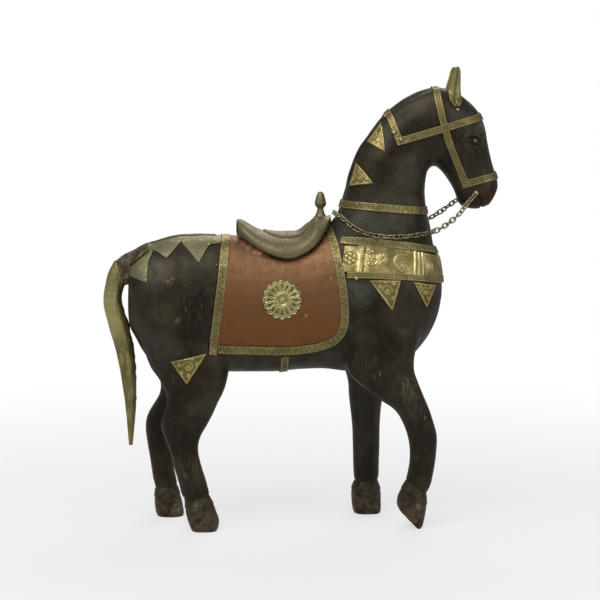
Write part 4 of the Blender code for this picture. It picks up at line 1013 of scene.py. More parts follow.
# %% [markdown]
# On the seat lies an oval panel with a crease round it. It starts as a wound grid too: each ring
# is dropped on the saddle, and the outer ring is turned down to touch it.

# %% Seat panel
SEAT_MIDDLE = -13.5
SEAT_HALF_LONG = 23.5
SEAT_HALF_WIDE = 23.0
seat_turns = np.linspace(0, 2 * math.pi, 97)
seat_shares = np.linspace(0, 1, 26)
seat_places = np.empty((len(seat_shares), len(seat_turns), 3))
for i, share_out in enumerate(seat_shares):
    lift_here = np.interp(share_out, (0, 0.72, 0.8, 0.88, 0.96, 1.0), (2.1, 2.0, 1.5, 1.95, 1.5, 0.5))
    for k, turn in enumerate(seat_turns):
        start = Vector((SEAT_MIDDLE - SHIFT + SEAT_HALF_LONG * share_out * math.cos(turn),
                        SEAT_HALF_WIDE * share_out * math.sin(turn), 340))
        seat_places[i, k] = saddle_tree.ray_cast(start, DOWN, 100)[0] + Vector((0, 0, lift_here))
seat_up = np.broadcast_to(np.array((0.0, 0.0, 1.0)), seat_places.shape)
saddle_seat = mend(lay("saddle_seat_panel", seat_places, None, seat_up)[0], outward=False)
apply_modifiers(thicken(saddle_seat, 0.9))
soften(saddle_seat, 50)
print("seat panel", len(saddle_seat.data.polygons), "faces")

# %% [markdown]
# The pommel carries a turned finial shaped like a bud on a flared foot. Turned work is a profile
# spun round an axis: the profile is drawn as a chain of corners, and Spin sweeps it round. The
# bud was then filed to six soft facets.

# %% Turned pieces
def spin_profile(name, profile, steps):
    """Sweep (radius, height) pairs in millimetres round the Z axis into a closed body."""
    bpy.ops.object.select_all(action="DESELECT")
    bpy.ops.mesh.primitive_plane_add(size=1.0)
    piece = bpy.context.object
    piece.name = name
    bpy.ops.object.mode_set(mode="EDIT")
    bpy.ops.mesh.select_all(action="SELECT")
    bpy.ops.mesh.delete(type="VERT")
    bpy.ops.object.mode_set(mode="OBJECT")
    piece.data.vertices.add(len(profile))
    piece.data.edges.add(len(profile) - 1)
    for k, (radius, height) in enumerate(profile):
        piece.data.vertices[k].co = (radius * MM, 0, height * MM)
    for k in range(len(profile) - 1):
        piece.data.edges[k].vertices = (k, k + 1)
    only(piece)
    bpy.ops.object.mode_set(mode="EDIT")
    bpy.ops.mesh.select_all(action="SELECT")
    bpy.ops.mesh.spin(steps=steps, angle=2 * math.pi, center=(0, 0, 0), axis=(0, 0, 1))
    bpy.ops.object.mode_set(mode="OBJECT")
    return mend(piece)


FINIAL = [(0, 0), (6.4, 0.0), (5.9, 0.9), (4.9, 2.4), (4.0, 4.4), (3.4, 6.6), (3.1, 8.2), (3.4, 9.2),
          (4.6, 10.6), (5.5, 12.2), (5.7, 13.4), (5.5, 15.0), (4.8, 18.2), (3.9, 21.2), (2.9, 23.6),
          (1.6, 25.0), (0, 25.3)]
finial = spin_profile("pommel_finial_turned", [tuple(row) for row in between(FINIAL, 49)], 40)
knob = corners_of(finial)
knob_turn = np.arctan2(knob[:, 1], knob[:, 0]) + 0.35
facet = 1.07 * math.cos(math.pi / 6) / np.cos(knob_turn % (math.pi / 3) - math.pi / 6)
knob[:, :2] *= (1 + 0.85 * np.clip((knob[:, 2] - 8) / 3, 0, 1) * (facet - 1))[:, None]
set_corners(finial, knob)
finial_foot = saddle_tree.ray_cast(Vector((20.4 - SHIFT, 0, 340)), DOWN, 100)[0]
finial.data.transform(Matrix.Translation((finial_foot + Vector((0, 0, -0.3))) * MM))
soften(finial, 40)
print("finial foot at", [round(value, 1) for value in finial_foot])

# %% [markdown]
# A brass sheet covers the croup. Its lower edge is cut into three points on each side, and the
# edge runs straight from point to point. Towards the tail a second, browner sheet laps over it,
# with a slit along the lap that is painted nearly black as shade. A narrow strip covers the spine.

# %% Croup plate
CROUP_EDGE = [(-168.4, 251.6, -166.0), (-160.5, 248.9, -160.5), (-151.7, 245.9, -155.0),
              (-151.6, 256.2, -151), (-150.6, 265.5, -147.5), (-145.6, 276, -144),
              (-139.4, 273.4, -139), (-133, 268.9, -133),
              (-125.7, 276.9, -126), (-118.6, 284, -118.6), (-110.1, 274.6, -110), (-101.8, 264.9, -102),
              (-96.4, 274.1, -95), (-90.6, 281.6, -88.5), (-85.6, 281.8, -83.4),
              (-80.0, 282.4, -77.6)]
edge_table = np.array(CROUP_EDGE)
edge_place = np.linspace(0, len(edge_table) - 1, (len(edge_table) - 1) * 6 + 1)
croup_rows = []
for place in edge_place:
    ex, ez, top_x = [np.interp(place, range(len(edge_table)), edge_table[:, k]) for k in range(3)]
    top = wood.ray_cast(Vector((top_x - SHIFT, 0, 400)), DOWN, 300)[0].z
    line = route((top_x, top + 4), (2 * ex - top_x, 2 * ez - top - 4), (ex, ez), 0.5, 110, step=1.0)
    spread = np.linspace(0, len(line) - 1, 90)
    croup_rows.append(np.stack([np.interp(spread, range(len(line)), line[:, k]) for k in range(3)], axis=1))
croup_feet = np.array(croup_rows)
croup_lean = np.array([[tuple(wood.find_nearest(Vector(foot))[1]) for foot in row] for row in croup_feet])
croup_lean = unit(steadied(croup_lean, 2))
dents = np.array([[noise.noise(Vector(foot) * 0.07 + Vector((3, 1, 4))) for foot in row]
                  for row in croup_feet])
LAP = (-150.5, 276.5)
LAP_WAY = np.array((-0.66, 0.751))
lap_off = (croup_feet[..., 0] + SHIFT - LAP[0]) * LAP_WAY[0] + (croup_feet[..., 2] - LAP[1]) * LAP_WAY[1]
lap_reach = np.clip((-147.5 - croup_feet[..., 0] - SHIFT) / 4, 0, 1)
lap = lap_reach / (1 + np.exp(-lap_off / 0.45))
# The slit is a shallow dip, and the finish paints it nearly black as shade.
shaded_slit = lap_reach * bump(lap_off + 0.7, 0.8)
croup_places = croup_feet + croup_lean * (1.05 + 0.3 * dents + 1.1 * lap - 0.3 * shaded_slit)[..., None]
croup_plate, row, column = lay("croup_plate_brass", croup_places, None, croup_lean)
keep_number(croup_plate, "lap", lap[row, column])
keep_number(croup_plate, "shaded_slit", shaded_slit[row, column])
apply_modifiers(thicken(croup_plate, SHEET))
soften(croup_plate, 50)
for cx, cz in ((-152.6, 248.6), (-132.9, 271.4), (-102.0, 268.0), (-91.6, 281.0)):
    nail_at(cx, cz, 1.1, 1.0, "nail")

spine = even([wood.ray_cast(Vector((sx - SHIFT, 0, 400)), DOWN, 300)[0]
              for sx in np.linspace(-149, -84, 110)])
strip_pieces["crupper_strip"] = ribbon("crupper_strip_punched", spine, 9.0, plain_strip, columns=21, lift=1.1)
print("croup plate", len(croup_plate.data.polygons), "faces")

# %% [markdown]
# The tail is carved wood, thicker at the bend and thin at its tip, with long cuts for the hair.
# Its outer side is covered by brass, with soft folds along its length.

# %% Tail
TAIL = [
    (-185.4, 261.6, -175.4, 237, 0, 10, 2.1), (-191.4, 248, -177.4, 227.5, 0, 10, 2.1),
    (-194.8, 225, -175.4, 216, 0, 10, 2.1), (-190.6, 202, -171, 202, 0, 9.5, 2.1),
    (-184, 179, -166.4, 180.5, 0, 8.5, 2.1), (-178.2, 150, -163.7, 151, 0, 6.9, 2.1),
    (-173.8, 117, -164.4, 118, 0, 4.8, 2.1), (-170.8, 79.6, -168.6, 79.6, 0, 1.5, 2.1),
]
TAIL_ROOT = [
    (-144, 281.8, -148, 238, 0, 28, 2.0), (-154, 280.0, -158, 237, 0, 24, 2.0),
    (-163.5, 276.4, -166.5, 237.5, 0, 19, 2.0), (-171.5, 272.4, -171, 240, 0, 13.6, 2.05),
    (-178.8, 268.2, -173.6, 240, 0, 11, 2.1),
]
tail_places = tube_places(TAIL_ROOT + TAIL, 96, 12)
tail_turn = np.linspace(0, 2 * math.pi, 97)[None, :]
tail_mid = tail_places[:, :-1].mean(axis=1, keepdims=True)
tail_out = unit(tail_places - tail_mid)
thickness = np.linalg.norm(tail_places - tail_mid, axis=2)
strand = np.sin(tail_turn * 9 + 0.6 * np.sin(np.linspace(0, 14, len(tail_places)))[:, None])
root_share = np.clip((tail_places[..., 0] + SHIFT + 181) / 8, 0, 1)
folds = np.array([[noise.noise(Vector((place[0] * 0.05, place[1] * 0.16, place[2] * 0.16))) for place in row]
                  for row in tail_places])
cut = 0.35 * strand * np.clip(thickness / 10, 0.1, 1) - 0.3
tail_places += tail_out * (cut * (1 - root_share) + root_share * (1.1 * folds - 0.1))[..., None]
tail = mend(lay("tail_carved", tail_places)[0], fill=True)
soften(tail, 50)

COVER_START = (-183.0, 264.2, -174.6, 240, 0, 10.1, 2.1)
COVER_TURN = math.radians(146)
cover_angles = np.linspace(-COVER_TURN, COVER_TURN, 72)
cover_places = tube_places([COVER_START] + TAIL, 72, 26, grow=1.15, angles=cover_angles)
cover_mid = cover_places.mean(axis=1, keepdims=True)
cover_out = unit(cover_places - cover_mid)
along = np.linspace(0, 190, len(cover_places))[:, None]
wobble = np.array([[noise.noise(Vector(place) * 0.08) for place in row] for row in cover_places])
beat = np.array([[noise.noise(Vector((place[0] * 0.3, place[1] * 0.3, place[2] * 0.06))) for place in row]
                 for row in cover_places])
fold = bump(np.sin(2.2 * cover_angles[None, :] + 0.02 * along + 1.5 * wobble), 0.22)
flat_edge = np.clip((COVER_TURN - np.abs(cover_angles)) / 0.4, 0, 1)[None, :]
cover_high = (0.22 * beat + 0.30 * wobble - 0.22 * fold) * flat_edge
cover_places = cover_places + cover_out * (cover_high - 0.2)[..., None]
flat = np.stack([along + 0 * cover_angles[None, :], cover_angles[None, :] * 9 + 0 * along], axis=2)
tail_cover, row, column = lay("tail_cover_beaten", cover_places, flat, cover_out)
keep_number(tail_cover, "relief", cover_high[row, column])
apply_modifiers(thicken(tail_cover, SHEET))
soften(tail_cover, 50)
print("tail", len(tail.data.polygons), "faces, cover", len(tail_cover.data.polygons))

# %% [markdown]
# Each ear is a brass leaf, cupped like a gutter, with a fold up its middle and a rounded tip. A
# rim is turned out round its foot, and a nail below holds it. The left ear leans forward a little
# more.

# %% Ears
EAR = [
    (416.8, 151.4, 156.6, 17.5), (419.6, 148.4, 158.4, 16.0), (424.0, 146.4, 158.9, 14.6),
    (433.0, 145.6, 157.9, 13.2), (443.0, 147.2, 157.2, 13.4), (450.5, 149.0, 156.9, 14.0),
    (454.2, 150.3, 156.0, 14.3), (455.8, 152.0, 154.6, 14.4),
]


def ear(name, side, rows=52, columns=24):
    """An ear, row by row from its foot to its tip."""
    places = np.empty((rows, columns, 3))
    high = np.empty((rows, columns))
    for i, (ez, rear_x, front_x, off) in enumerate(between(EAR, rows)):
        tip_shift = (2.4 if side > 0 else 1.1) * min(1.0, max(0.0, (ez - 424) / 22))
        for k in range(columns):
            s = k / (columns - 1)
            cup = 3.0 * (1 - (2 * s - 1) ** 2) * min(1.0, (ez - 410) / 20)
            reach = off + cup
            px = rear_x + (front_x - rear_x) * s + tip_shift
            for drop in (-3.0, 0.0, 3.0):
                foot = side_spot(px, ez + drop, side)
                if foot:
                    reach = max(reach, abs(foot.y) + 0.7)
            fold = 0.8 * math.exp(-((s - 0.5 - 0.004 * (ez - 436)) / 0.085) ** 2) * min(1.0, (456 - ez) / 6)
            rim = 0.7 * math.exp(-((ez - 419.6 - 2.0 * (2 * s - 1) ** 2) / 0.9) ** 2)
            high[i, k] = rim - fold
            places[i, k] = (px - SHIFT, side * (reach + 1.5 - fold + rim), min(ez, 455.6))
    flat = np.repeat(np.linspace(0, 42, rows)[:, None], columns, axis=1)
    flat = np.stack([flat, np.repeat(np.linspace(-6, 6, columns)[None, :], rows, axis=0)], axis=2)
    facing = np.broadcast_to(np.array((0.0, float(side), 0.0)), places.shape)
    piece, row, column = lay(name, places, flat, facing)
    keep_number(piece, "relief", (0.2 + high)[row, column])
    thicken(piece, 1.3)
    round_off = piece.modifiers.new("round", "SUBSURF")
    round_off.levels = round_off.render_levels = 1
    apply_modifiers(piece)
    return soften(piece, 60)


ears = {"ear_right": ear("ear_right_leaf", -1), "ear_left": ear("ear_left_leaf", 1)}
nail_at(154.0, 413.6, 1.5, 0.9, "pale nail")
print("ears", [len(piece.data.polygons) for piece in ears.values()])

# %% [markdown]
# Round-headed nails hold the strips, and four larger tacks make the eyes and hold the two ends of
# the chain. One head is turned, a dome with a thin skirt round it, and each copy is scaled, turned
# to the surface and set in place.

# %% Nails and tacks
HEAD = [(0, 0.95), (0.35, 0.9), (0.68, 0.72), (0.9, 0.42), (1.0, 0.05), (1.04, -0.14), (1.36, -0.2),
        (1.4, -0.5), (0, -0.5)]
nail_at(91.6, 391.0, 2.0, 2.1, "pale nail")
nail_at(97.6, 383.8, 1.7, 3.0, "nail")
nail_at(84.8, 406.4, 1.3, 2.0, "nail")
nail_at(163.4, 342.4, 1.4, 2.4, "copper nail")
for nx, nz in ((178, 344.2), (187, 346.4)):
    nail_at(nx, nz, 0.9, 1.3, "dull nail")
nail_at(68.6, 275.2, 1.7, 1.6, "bright nail")
nail_at(52.0, 249.6, 1.8, 1.5, "bright nail")
for nx, nz in ((118.8, 275.8), (84, 284.0), (45, 284.6), (100, 249.0), (126, 246.8)):
    nail_at(nx, nz, 1.1, 1.5, "dull nail")
for nx, nz in ((46, 320.2), (72, 318.0), (103, 315.6), (120, 314.3)):
    nail_at(nx, nz, 1.0, 1.5, "dull nail")
for nx, nz in ((-17.3, 172.6), (-17.3, 160.0)):
    nail_at(nx, nz, 1.0, 1.5, "dull nail")


def nail_heads(name, chosen, steps=12):
    """All chosen nails in one mesh, each from its own spun copy of the head."""
    parts = []
    model = spin_profile("nail_model", HEAD, steps)
    shape = corners_of(model)
    # The dome is stored as high relief, so the finish makes it bright, and the skirt as low relief, so it
    # takes the dark tone: painted shade and tarnish as a ring round each head.
    on_dome = (np.hypot(shape[:, 0], shape[:, 1]) < 1.02) & (shape[:, 2] > -0.1)
    keep_number(model, "relief", np.where(on_dome, 0.5, -0.3))
    for place, way, radius, _ in chosen:
        copy = bpy.data.objects.new("nail", model.data.copy())
        bpy.context.scene.collection.objects.link(copy)
        turn = way.to_track_quat("Z", "Y").to_matrix().to_4x4()
        move = Matrix.Translation(place * MM) @ turn @ Matrix.Diagonal((radius, radius, radius, 1.0))
        copy.data.transform(move)
        parts.append(copy)
    bpy.data.objects.remove(model)
    return soften(join(parts, name), 50)


nail_pieces = {}
for look in ("nail", "dull nail", "pale nail", "bright nail", "copper nail"):
    chosen = [entry for entry in nails if entry[3] == look]
    nail_pieces[look] = nail_heads(look.replace(" ", "_") + "s", chosen)
tacks = {}
for tack_name, (tx, tz), size in (("eye_tack", EYE, 2.1), ("bit_tack", (173.9, 331.2), 2.2)):
    for side, word in ((-1, "right"), (1, "left")):
        foot = side_spot(tx, tz, side)
        way = wood.find_nearest(foot)[1]
        key = tack_name + "_" + word
        tacks[key] = nail_heads(key + "_head", [(foot + way * 0.5, way, size, "")], 24)
print(len(nails), "nails,", len(tacks), "tacks")

# %% [markdown]
# The rein is one brass chain. It hangs free from the bit tacks, meets the neck and lies round it.
# A link is a torus stretched to an oval. Copies follow the chain's line one pitch apart, and each
# is turned a quarter against the one before, half way between flat and upright, as links lie.

# %% Rein chain
NEAR_FREE = [(171.4, 328.6, 20), (163.1, 319.7, 23.5), (154.6, 310, 28), (143.1, 301.4, 32.5),
             (132.9, 295.7, 35)]
NEAR_ON_NECK = [(121, 291.8), (108, 290.2), (94.5, 289.4), (80.9, 289.6), (66.2, 291.6), (52.5, 297.2),
                (43, 305.3)]
FAR_ON_NECK = [(119, 295.6), (104, 292.6), (90, 291.4), (76, 292.0), (62, 294.6), (50, 300.2), (42, 306.4)]
FAR_FREE = [(171.0, 329.4, 20), (159.3, 321.1, 25.5), (144.6, 309.8, 31), (131.9, 301.4, 36)]
LINK_PITCH = 4.9
LINK_LONG = 6.5
LINK_WIDE = 4.5
LINK_WIRE = 0.76
CHAIN_CLEARANCE = 2.75
chain_line = [Vector((cx - SHIFT, -cy, cz)) for cx, cz, cy in NEAR_FREE]
for cx, cz in NEAR_ON_NECK:
    foot = side_spot(cx, cz, -1)
    chain_line.append(foot + wood.find_nearest(foot)[1] * CHAIN_CLEARANCE)
foot, way = wood.find_nearest(Vector((35.0 - SHIFT, 0, 311.0)))[:2]
chain_line.append(foot + way * CHAIN_CLEARANCE)
for cx, cz in reversed(FAR_ON_NECK):
    foot = side_spot(cx, cz, 1)
    chain_line.append(foot + wood.find_nearest(foot)[1] * CHAIN_CLEARANCE)
chain_line += [Vector((cx - SHIFT, cy, cz)) for cx, cz, cy in reversed(FAR_FREE)]
chain_line = even(between([tuple(place) for place in chain_line], 600), 0.5)
chain_line = even(chain_line, LINK_PITCH)
for k, place in enumerate(chain_line):
    foot, way = wood.find_nearest(Vector(place))[:2]
    room = (Vector(place) - foot).dot(way)
    if room < CHAIN_CLEARANCE:
        chain_line[k] = Vector(place) + way * (CHAIN_CLEARANCE - room)
bpy.ops.object.select_all(action="DESELECT")
bpy.ops.mesh.primitive_torus_add(major_segments=18, minor_segments=8, major_radius=LINK_WIDE / 2 * MM,
                                 minor_radius=LINK_WIRE * MM)
link = bpy.context.object
stretch = corners_of(link)
stretch[:, 0] += np.sign(stretch[:, 0]) * (LINK_LONG - LINK_WIDE) / 2 * (np.abs(stretch[:, 0]) > 0.3)
set_corners(link, stretch)
links = []
for k in range(len(chain_line)):
    here = Vector(chain_line[k])
    along = Vector(chain_line[min(k + 1, len(chain_line) - 1)] - chain_line[max(k - 1, 0)]).normalized()
    up = wood.find_nearest(here)[1]
    first = along.cross(up).normalized()
    second = along.cross(first).normalized()
    lean = math.radians(45 if k % 2 else -45) + 0.18 * math.sin(k * 1.7)
    cross = first * math.cos(lean) + second * math.sin(lean)
    third = along.cross(cross).normalized()
    turn = Matrix((along, cross, third)).transposed().to_4x4()
    copy = bpy.data.objects.new("link", link.data.copy())
    bpy.context.scene.collection.objects.link(copy)
    copy.data.transform(Matrix.Translation(here * MM) @ turn)
    links.append(copy)
bpy.data.objects.remove(link)
rein_chain = soften(join(links, "rein_chain_links"), 70)
chain_length = float(np.linalg.norm(np.diff(chain_line, axis=0), axis=1).sum())
print(len(chain_line), "links,", round(chain_length), "mm")

# %% [markdown]
# Finishes are made of shader nodes. To keep the sums readable, a small class wraps a socket so
# that ordinary Python expressions add the Math nodes, and one method adds any other node.

# %% Shader helpers
class Sum:
    """A number in the shader that takes part in Python expressions."""

    def __init__(self, tree, socket):
        self.tree = tree
        self.socket = socket

    def step(self, operation, *values):
        """Add one Math node and wrap its result."""
        node = self.tree.nodes.new("ShaderNodeMath")
        node.operation = operation
        for place, value in zip(node.inputs, values):
            if isinstance(value, Sum):
                self.tree.links.new(value.socket, place)
            else:
                place.default_value = value
        return Sum(self.tree, node.outputs[0])

    def __add__(self, other):
        return self.step("ADD", self, other)

    def __sub__(self, other):
        return self.step("SUBTRACT", self, other)

    def __mul__(self, other):
        return self.step("MULTIPLY", self, other)


class Finish:
    """One material, its nodes added by name."""

    def __init__(self, name):
        self.material = bpy.data.materials.new(name)
        self.material.use_nodes = True
        self.tree = self.material.node_tree
        self.shader = self.tree.nodes["Principled BSDF"]
        self.place = self.node("ShaderNodeTexCoord").outputs["Object"]

    def node(self, kind, settings=None, **values):
        """Add a node: its settings first, then the values or links of its sockets."""
        node = self.tree.nodes.new(kind)
        for key, value in (settings or {}).items():
            setattr(node, key, value)
        for key, value in values.items():
            self.feed(node.inputs[int(key[1:]) if key[0] == "_" else key], value)
        return node

    def feed(self, place, value):
        """Link a socket to this place, or set the value there."""
        if isinstance(value, Sum):
            value = value.socket
        if isinstance(value, bpy.types.NodeSocket):
            self.tree.links.new(value, place)
        else:
            place.default_value = value

    def stretched(self, scale, turn=(0, 0, 0)):
        """The place on the piece, scaled to millimetres and stretched."""
        node = self.node("ShaderNodeMapping", Vector=self.place, Rotation=turn,
                         Scale=[value / MM for value in scale])
        return node.outputs["Vector"]

    def cloud(self, size, detail=3.0, rough=0.55, scale=(1, 1, 1), turn=(0, 0, 0), twist=0.0):
        """Noise whose patches are about size millimetres."""
        node = self.node("ShaderNodeTexNoise", Vector=self.stretched(scale, turn), Scale=1 / size,
                         Detail=detail, Roughness=rough, Distortion=twist)
        return Sum(self.tree, node.outputs["Fac"])

    def cells(self, size):
        """Distance to the nearest of many scattered points, counted in sizes of so many millimetres."""
        node = self.node("ShaderNodeTexVoronoi", Vector=self.stretched((1, 1, 1)), Scale=1 / size)
        return Sum(self.tree, node.outputs["Distance"])

    def stored(self, name):
        """A number stored on the piece, such as its relief."""
        return Sum(self.tree, self.node("ShaderNodeAttribute", {"attribute_name": name}).outputs["Fac"])

    def ramp(self, value, low, high, start=0.0, end=1.0):
        """Smoothly from start to end while value goes from low to high."""
        node = self.node("ShaderNodeMapRange", {"interpolation_type": "SMOOTHSTEP"},
                         _0=value, _1=low, _2=high, _3=start, _4=end)
        return Sum(self.tree, node.outputs[0])

    def near(self, spot, inner, outer):
        """1 near a drawn place in millimetres, fading to 0 at the outer distance."""
        node = self.node("ShaderNodeVectorMath", {"operation": "DISTANCE"}, _0=self.place,
                         _1=((spot[0] - SHIFT) * MM, spot[1] * MM, spot[2] * MM))
        return self.ramp(Sum(self.tree, node.outputs["Value"]), inner * MM, outer * MM, 1.0, 0.0)

    def across(self, spot, inner, outer):
        """The same for a side-view place, right through the piece from side to side."""
        flat = self.node("ShaderNodeVectorMath", {"operation": "MULTIPLY"}, _0=self.place, _1=(1, 0, 1))
        node = self.node("ShaderNodeVectorMath", {"operation": "DISTANCE"}, _0=flat.outputs["Vector"],
                         _1=((spot[0] - SHIFT) * MM, 0, spot[1] * MM))
        return self.ramp(Sum(self.tree, node.outputs["Value"]), inner * MM, outer * MM, 1.0, 0.0)

    def mix(self, mask, first, second):
        """Colour first where the mask is 0 and second where it is 1."""
        node = self.node("ShaderNodeMix", {"data_type": "RGBA"}, _0=mask)
        for place, colour in ((node.inputs[6], first), (node.inputs[7], second)):
            self.feed(place, colour if isinstance(colour, bpy.types.NodeSocket) else (*colour, 1.0))
        return node.outputs[2]

    def height(self):
        """The height above the floor, in metres."""
        parts = self.node("ShaderNodeSeparateXYZ", Vector=self.place)
        return Sum(self.tree, parts.outputs["Z"])

    def finish(self, colour, rough, metal=0.0, rise=None, depth_mm=0.2, gloss=0.5, tint=(1, 1, 1)):
        """Feed the shader. Gloss and tint are constants, and rise is a bump of depth_mm."""
        self.feed(self.shader.inputs["Base Color"], colour)
        self.feed(self.shader.inputs["Roughness"], rough)
        self.feed(self.shader.inputs["Metallic"], metal)
        self.shader.inputs["Specular IOR Level"].default_value = gloss
        self.shader.inputs["Specular Tint"].default_value = (*tint, 1.0)
        if rise is not None:
            relief_node = self.node("ShaderNodeBump", Height=rise, Strength=1.0, Distance=depth_mm * MM)
            self.feed(self.shader.inputs["Normal"], relief_node.outputs["Normal"])
        return self.material


# %% [markdown]
# The wood is nearly black, stained and waxed by hands. Under the wax the brown shows in reddish
# patches, fine grain runs down the body, and pale scratches and chips show fresh wood. A grey
# olive sheen is painted into the colour, in random patches and at listed places, and the carved
# grooves are darkened with painted shade. Long thin noise makes grain; thresholds make scratches.

# %% Dark wood
def dark_wood(name):
    """The finish, its colour, roughness and rise, all of them still open to change."""
    wood_look = Finish(name)
    patches = wood_look.cloud(48, 4, 0.6)
    blotches = wood_look.cloud(17, 5, 0.65, twist=0.8)
    grain = wood_look.cloud(2.2, 4, 0.6, scale=(1, 1, 0.07))
    fine_grain = wood_look.cloud(0.8, 2, 0.6, scale=(1, 1, 0.05))
    colour = wood_look.mix(wood_look.ramp(patches, 0.38, 0.66), (0.0115, 0.0085, 0.0060),
                           (0.050, 0.043, 0.028))
    red = wood_look.ramp(blotches, 0.50, 0.70) * 0.6
    colour = wood_look.mix(red, colour, (0.058, 0.026, 0.013))
    # Painted sheen: a grey olive tone in random patches.
    olive = wood_look.ramp(wood_look.cloud(31, 3, 0.5), 0.52, 0.72) * 0.55
    colour = wood_look.mix(olive, colour, (0.062, 0.062, 0.044))
    colour = wood_look.mix(wood_look.ramp(grain, 0.52, 0.74) * 0.42, colour, (0.084, 0.062, 0.038))
    scratches = wood_look.cloud(1.5, 2, 0.5, scale=(1, 1, 0.06), turn=(0, 0.16, 0))
    scratches = wood_look.ramp(scratches, 0.735, 0.79)
    scratches = scratches * wood_look.ramp(wood_look.cloud(26, 2), 0.50, 0.62) * 0.5
    colour = wood_look.mix(scratches, colour, (0.20, 0.17, 0.14))
    flecks = wood_look.ramp(wood_look.cells(7.5), 0.075, 0.11, 1.0, 0.0)
    flecks = flecks * wood_look.ramp(wood_look.cloud(22, 3), 0.56, 0.64) * 0.7
    colour = wood_look.mix(flecks, colour, (0.24, 0.17, 0.10))
    sheen = wood_look.cloud(13, 4, 0.6)
    rough = wood_look.ramp(sheen, 0.35, 0.7, 0.32, 0.52) + scratches * 0.2
    rise = grain * 0.5 + fine_grain * 0.3 + blotches * 0.6 - scratches * 0.8 - flecks * 1.2
    return wood_look, colour, rough, rise


body_look, colour, rough, rise = dark_wood("dark wood")
# Painted sheen: a grey olive highlight at each listed place. One of them lightens the shaded far foreleg.
PAINTED_SHEEN_SPOTS = (((-146, 255), 5, 24, 0.62), ((70, 300), 14, 46, 0.52), ((81, 389), 4, 17, 0.50),
          ((153, 408), 5, 18, 0.38), ((53, 236), 5, 24, 0.75), ((-152, 176), 8, 30, 0.35),
          ((104, 352), 8, 26, 0.34), ((60, 96), 20, 60, 0.20), ((181, 398), 2, 11, 0.85))
TAN = (0.29, 0.19, 0.10)
RED = (0.115, 0.040, 0.020)
ORANGE = (0.24, 0.12, 0.045)
PALE = (0.23, 0.20, 0.14)
CHIPS = (((-123, 22, 8), 9, (0.42, 0.33, 0.21)), ((-125, 22, 15), 6, PALE), ((-138, 45, 18), 5, TAN),
         ((109, -50, 9), 6, ORANGE), ((115, -51, 24), 7, PALE), ((181, -22, 321), 5, RED),
         ((107, -50, 15), 8, RED), ((-106, -50, 26), 7, PALE), ((125, -49, 104), 7, RED),
         ((121, -50, 111), 3.5, TAN), ((-131, -48, 250), 8, TAN), ((-116, -50, 245), 4.5, TAN),
         ((-115, -50, 220), 3.6, TAN), ((-123, -50, 210), 5, TAN), ((-143, -44, 270), 10, RED),
         ((-121, -44, 272), 9, RED), ((-104, -51, 3), 9, ORANGE))
STREAKS = (((-106, -48, 56), 30, 2.6, (0.110, 0.046, 0.024)),
           ((-114, -48, 62), 13, 2.0, (0.15, 0.12, 0.075)),
           ((-94, -50, 226), 34, 0.9, (0.056, 0.054, 0.042)),
           ((112, -50, 128), 26, 1.8, (0.090, 0.076, 0.046)),
           ((104, -49, 143), 18, 1.5, (0.17, 0.14, 0.10)), ((74, -50, 153), 8, 1.4, (0.22, 0.19, 0.15)),
           ((60, -46, 340), 22, 1.6, (0.11, 0.085, 0.060)),
           ((-140, -50, 214), 12, 1.6, (0.15, 0.13, 0.10)))
for spot, inner, outer, amount in PAINTED_SHEEN_SPOTS:
    painted_sheen = body_look.across(spot, inner, outer)
    painted_sheen = painted_sheen * body_look.ramp(body_look.cloud(9, 4, 0.6), 0.32, 0.62, 0.35, 1.0)
    colour = body_look.mix(painted_sheen * amount, colour, (0.115, 0.118, 0.092))
    rough = rough - painted_sheen * 0.06
for chip, size, chip_colour in CHIPS:
    worn = body_look.near(chip, size * 0.3, size)
    worn = worn * body_look.ramp(body_look.cloud(2.4, 4, 0.7), 0.46, 0.58) * 0.85
    colour = body_look.mix(worn, colour, chip_colour)
for spot, size, fine, streak_colour in STREAKS:
    streaks = body_look.ramp(body_look.cloud(fine, 3, 0.6, scale=(1, 1, 0.12), turn=(0, 0.12, 0)), 0.52, 0.64)
    colour = body_look.mix(body_look.near(spot, size * 0.4, size) * streaks * 0.75, colour, streak_colour)
hoof_wear = body_look.ramp(body_look.height(), 0.006, 0.040, 1.0, 0.0)
hoof_wear = hoof_wear * body_look.ramp(body_look.cloud(6, 4), 0.38, 0.60)
colour = body_look.mix(hoof_wear * 0.65, colour, (0.155, 0.112, 0.068))
band = body_look.stored("band") * body_look.ramp(body_look.cloud(5, 4, 0.6), 0.35, 0.65)
colour = body_look.mix(band * 0.4, colour, (0.085, 0.074, 0.046))
eye_marks = body_look.near((171.5, -22, 381), 6, 17) * body_look.ramp(
    body_look.cloud(1.9, 3, 0.6, scale=(0.4, 1, 1), turn=(0, 0.7, 0)), 0.57, 0.66)
colour = body_look.mix(eye_marks * 0.6, colour, (0.24, 0.22, 0.17))
muzzle = body_look.near((188, 0, 328), 14, 24) * body_look.ramp(body_look.cloud(9, 4), 0.42, 0.6)
colour = body_look.mix(muzzle * 0.7, colour, (0.075, 0.020, 0.010))
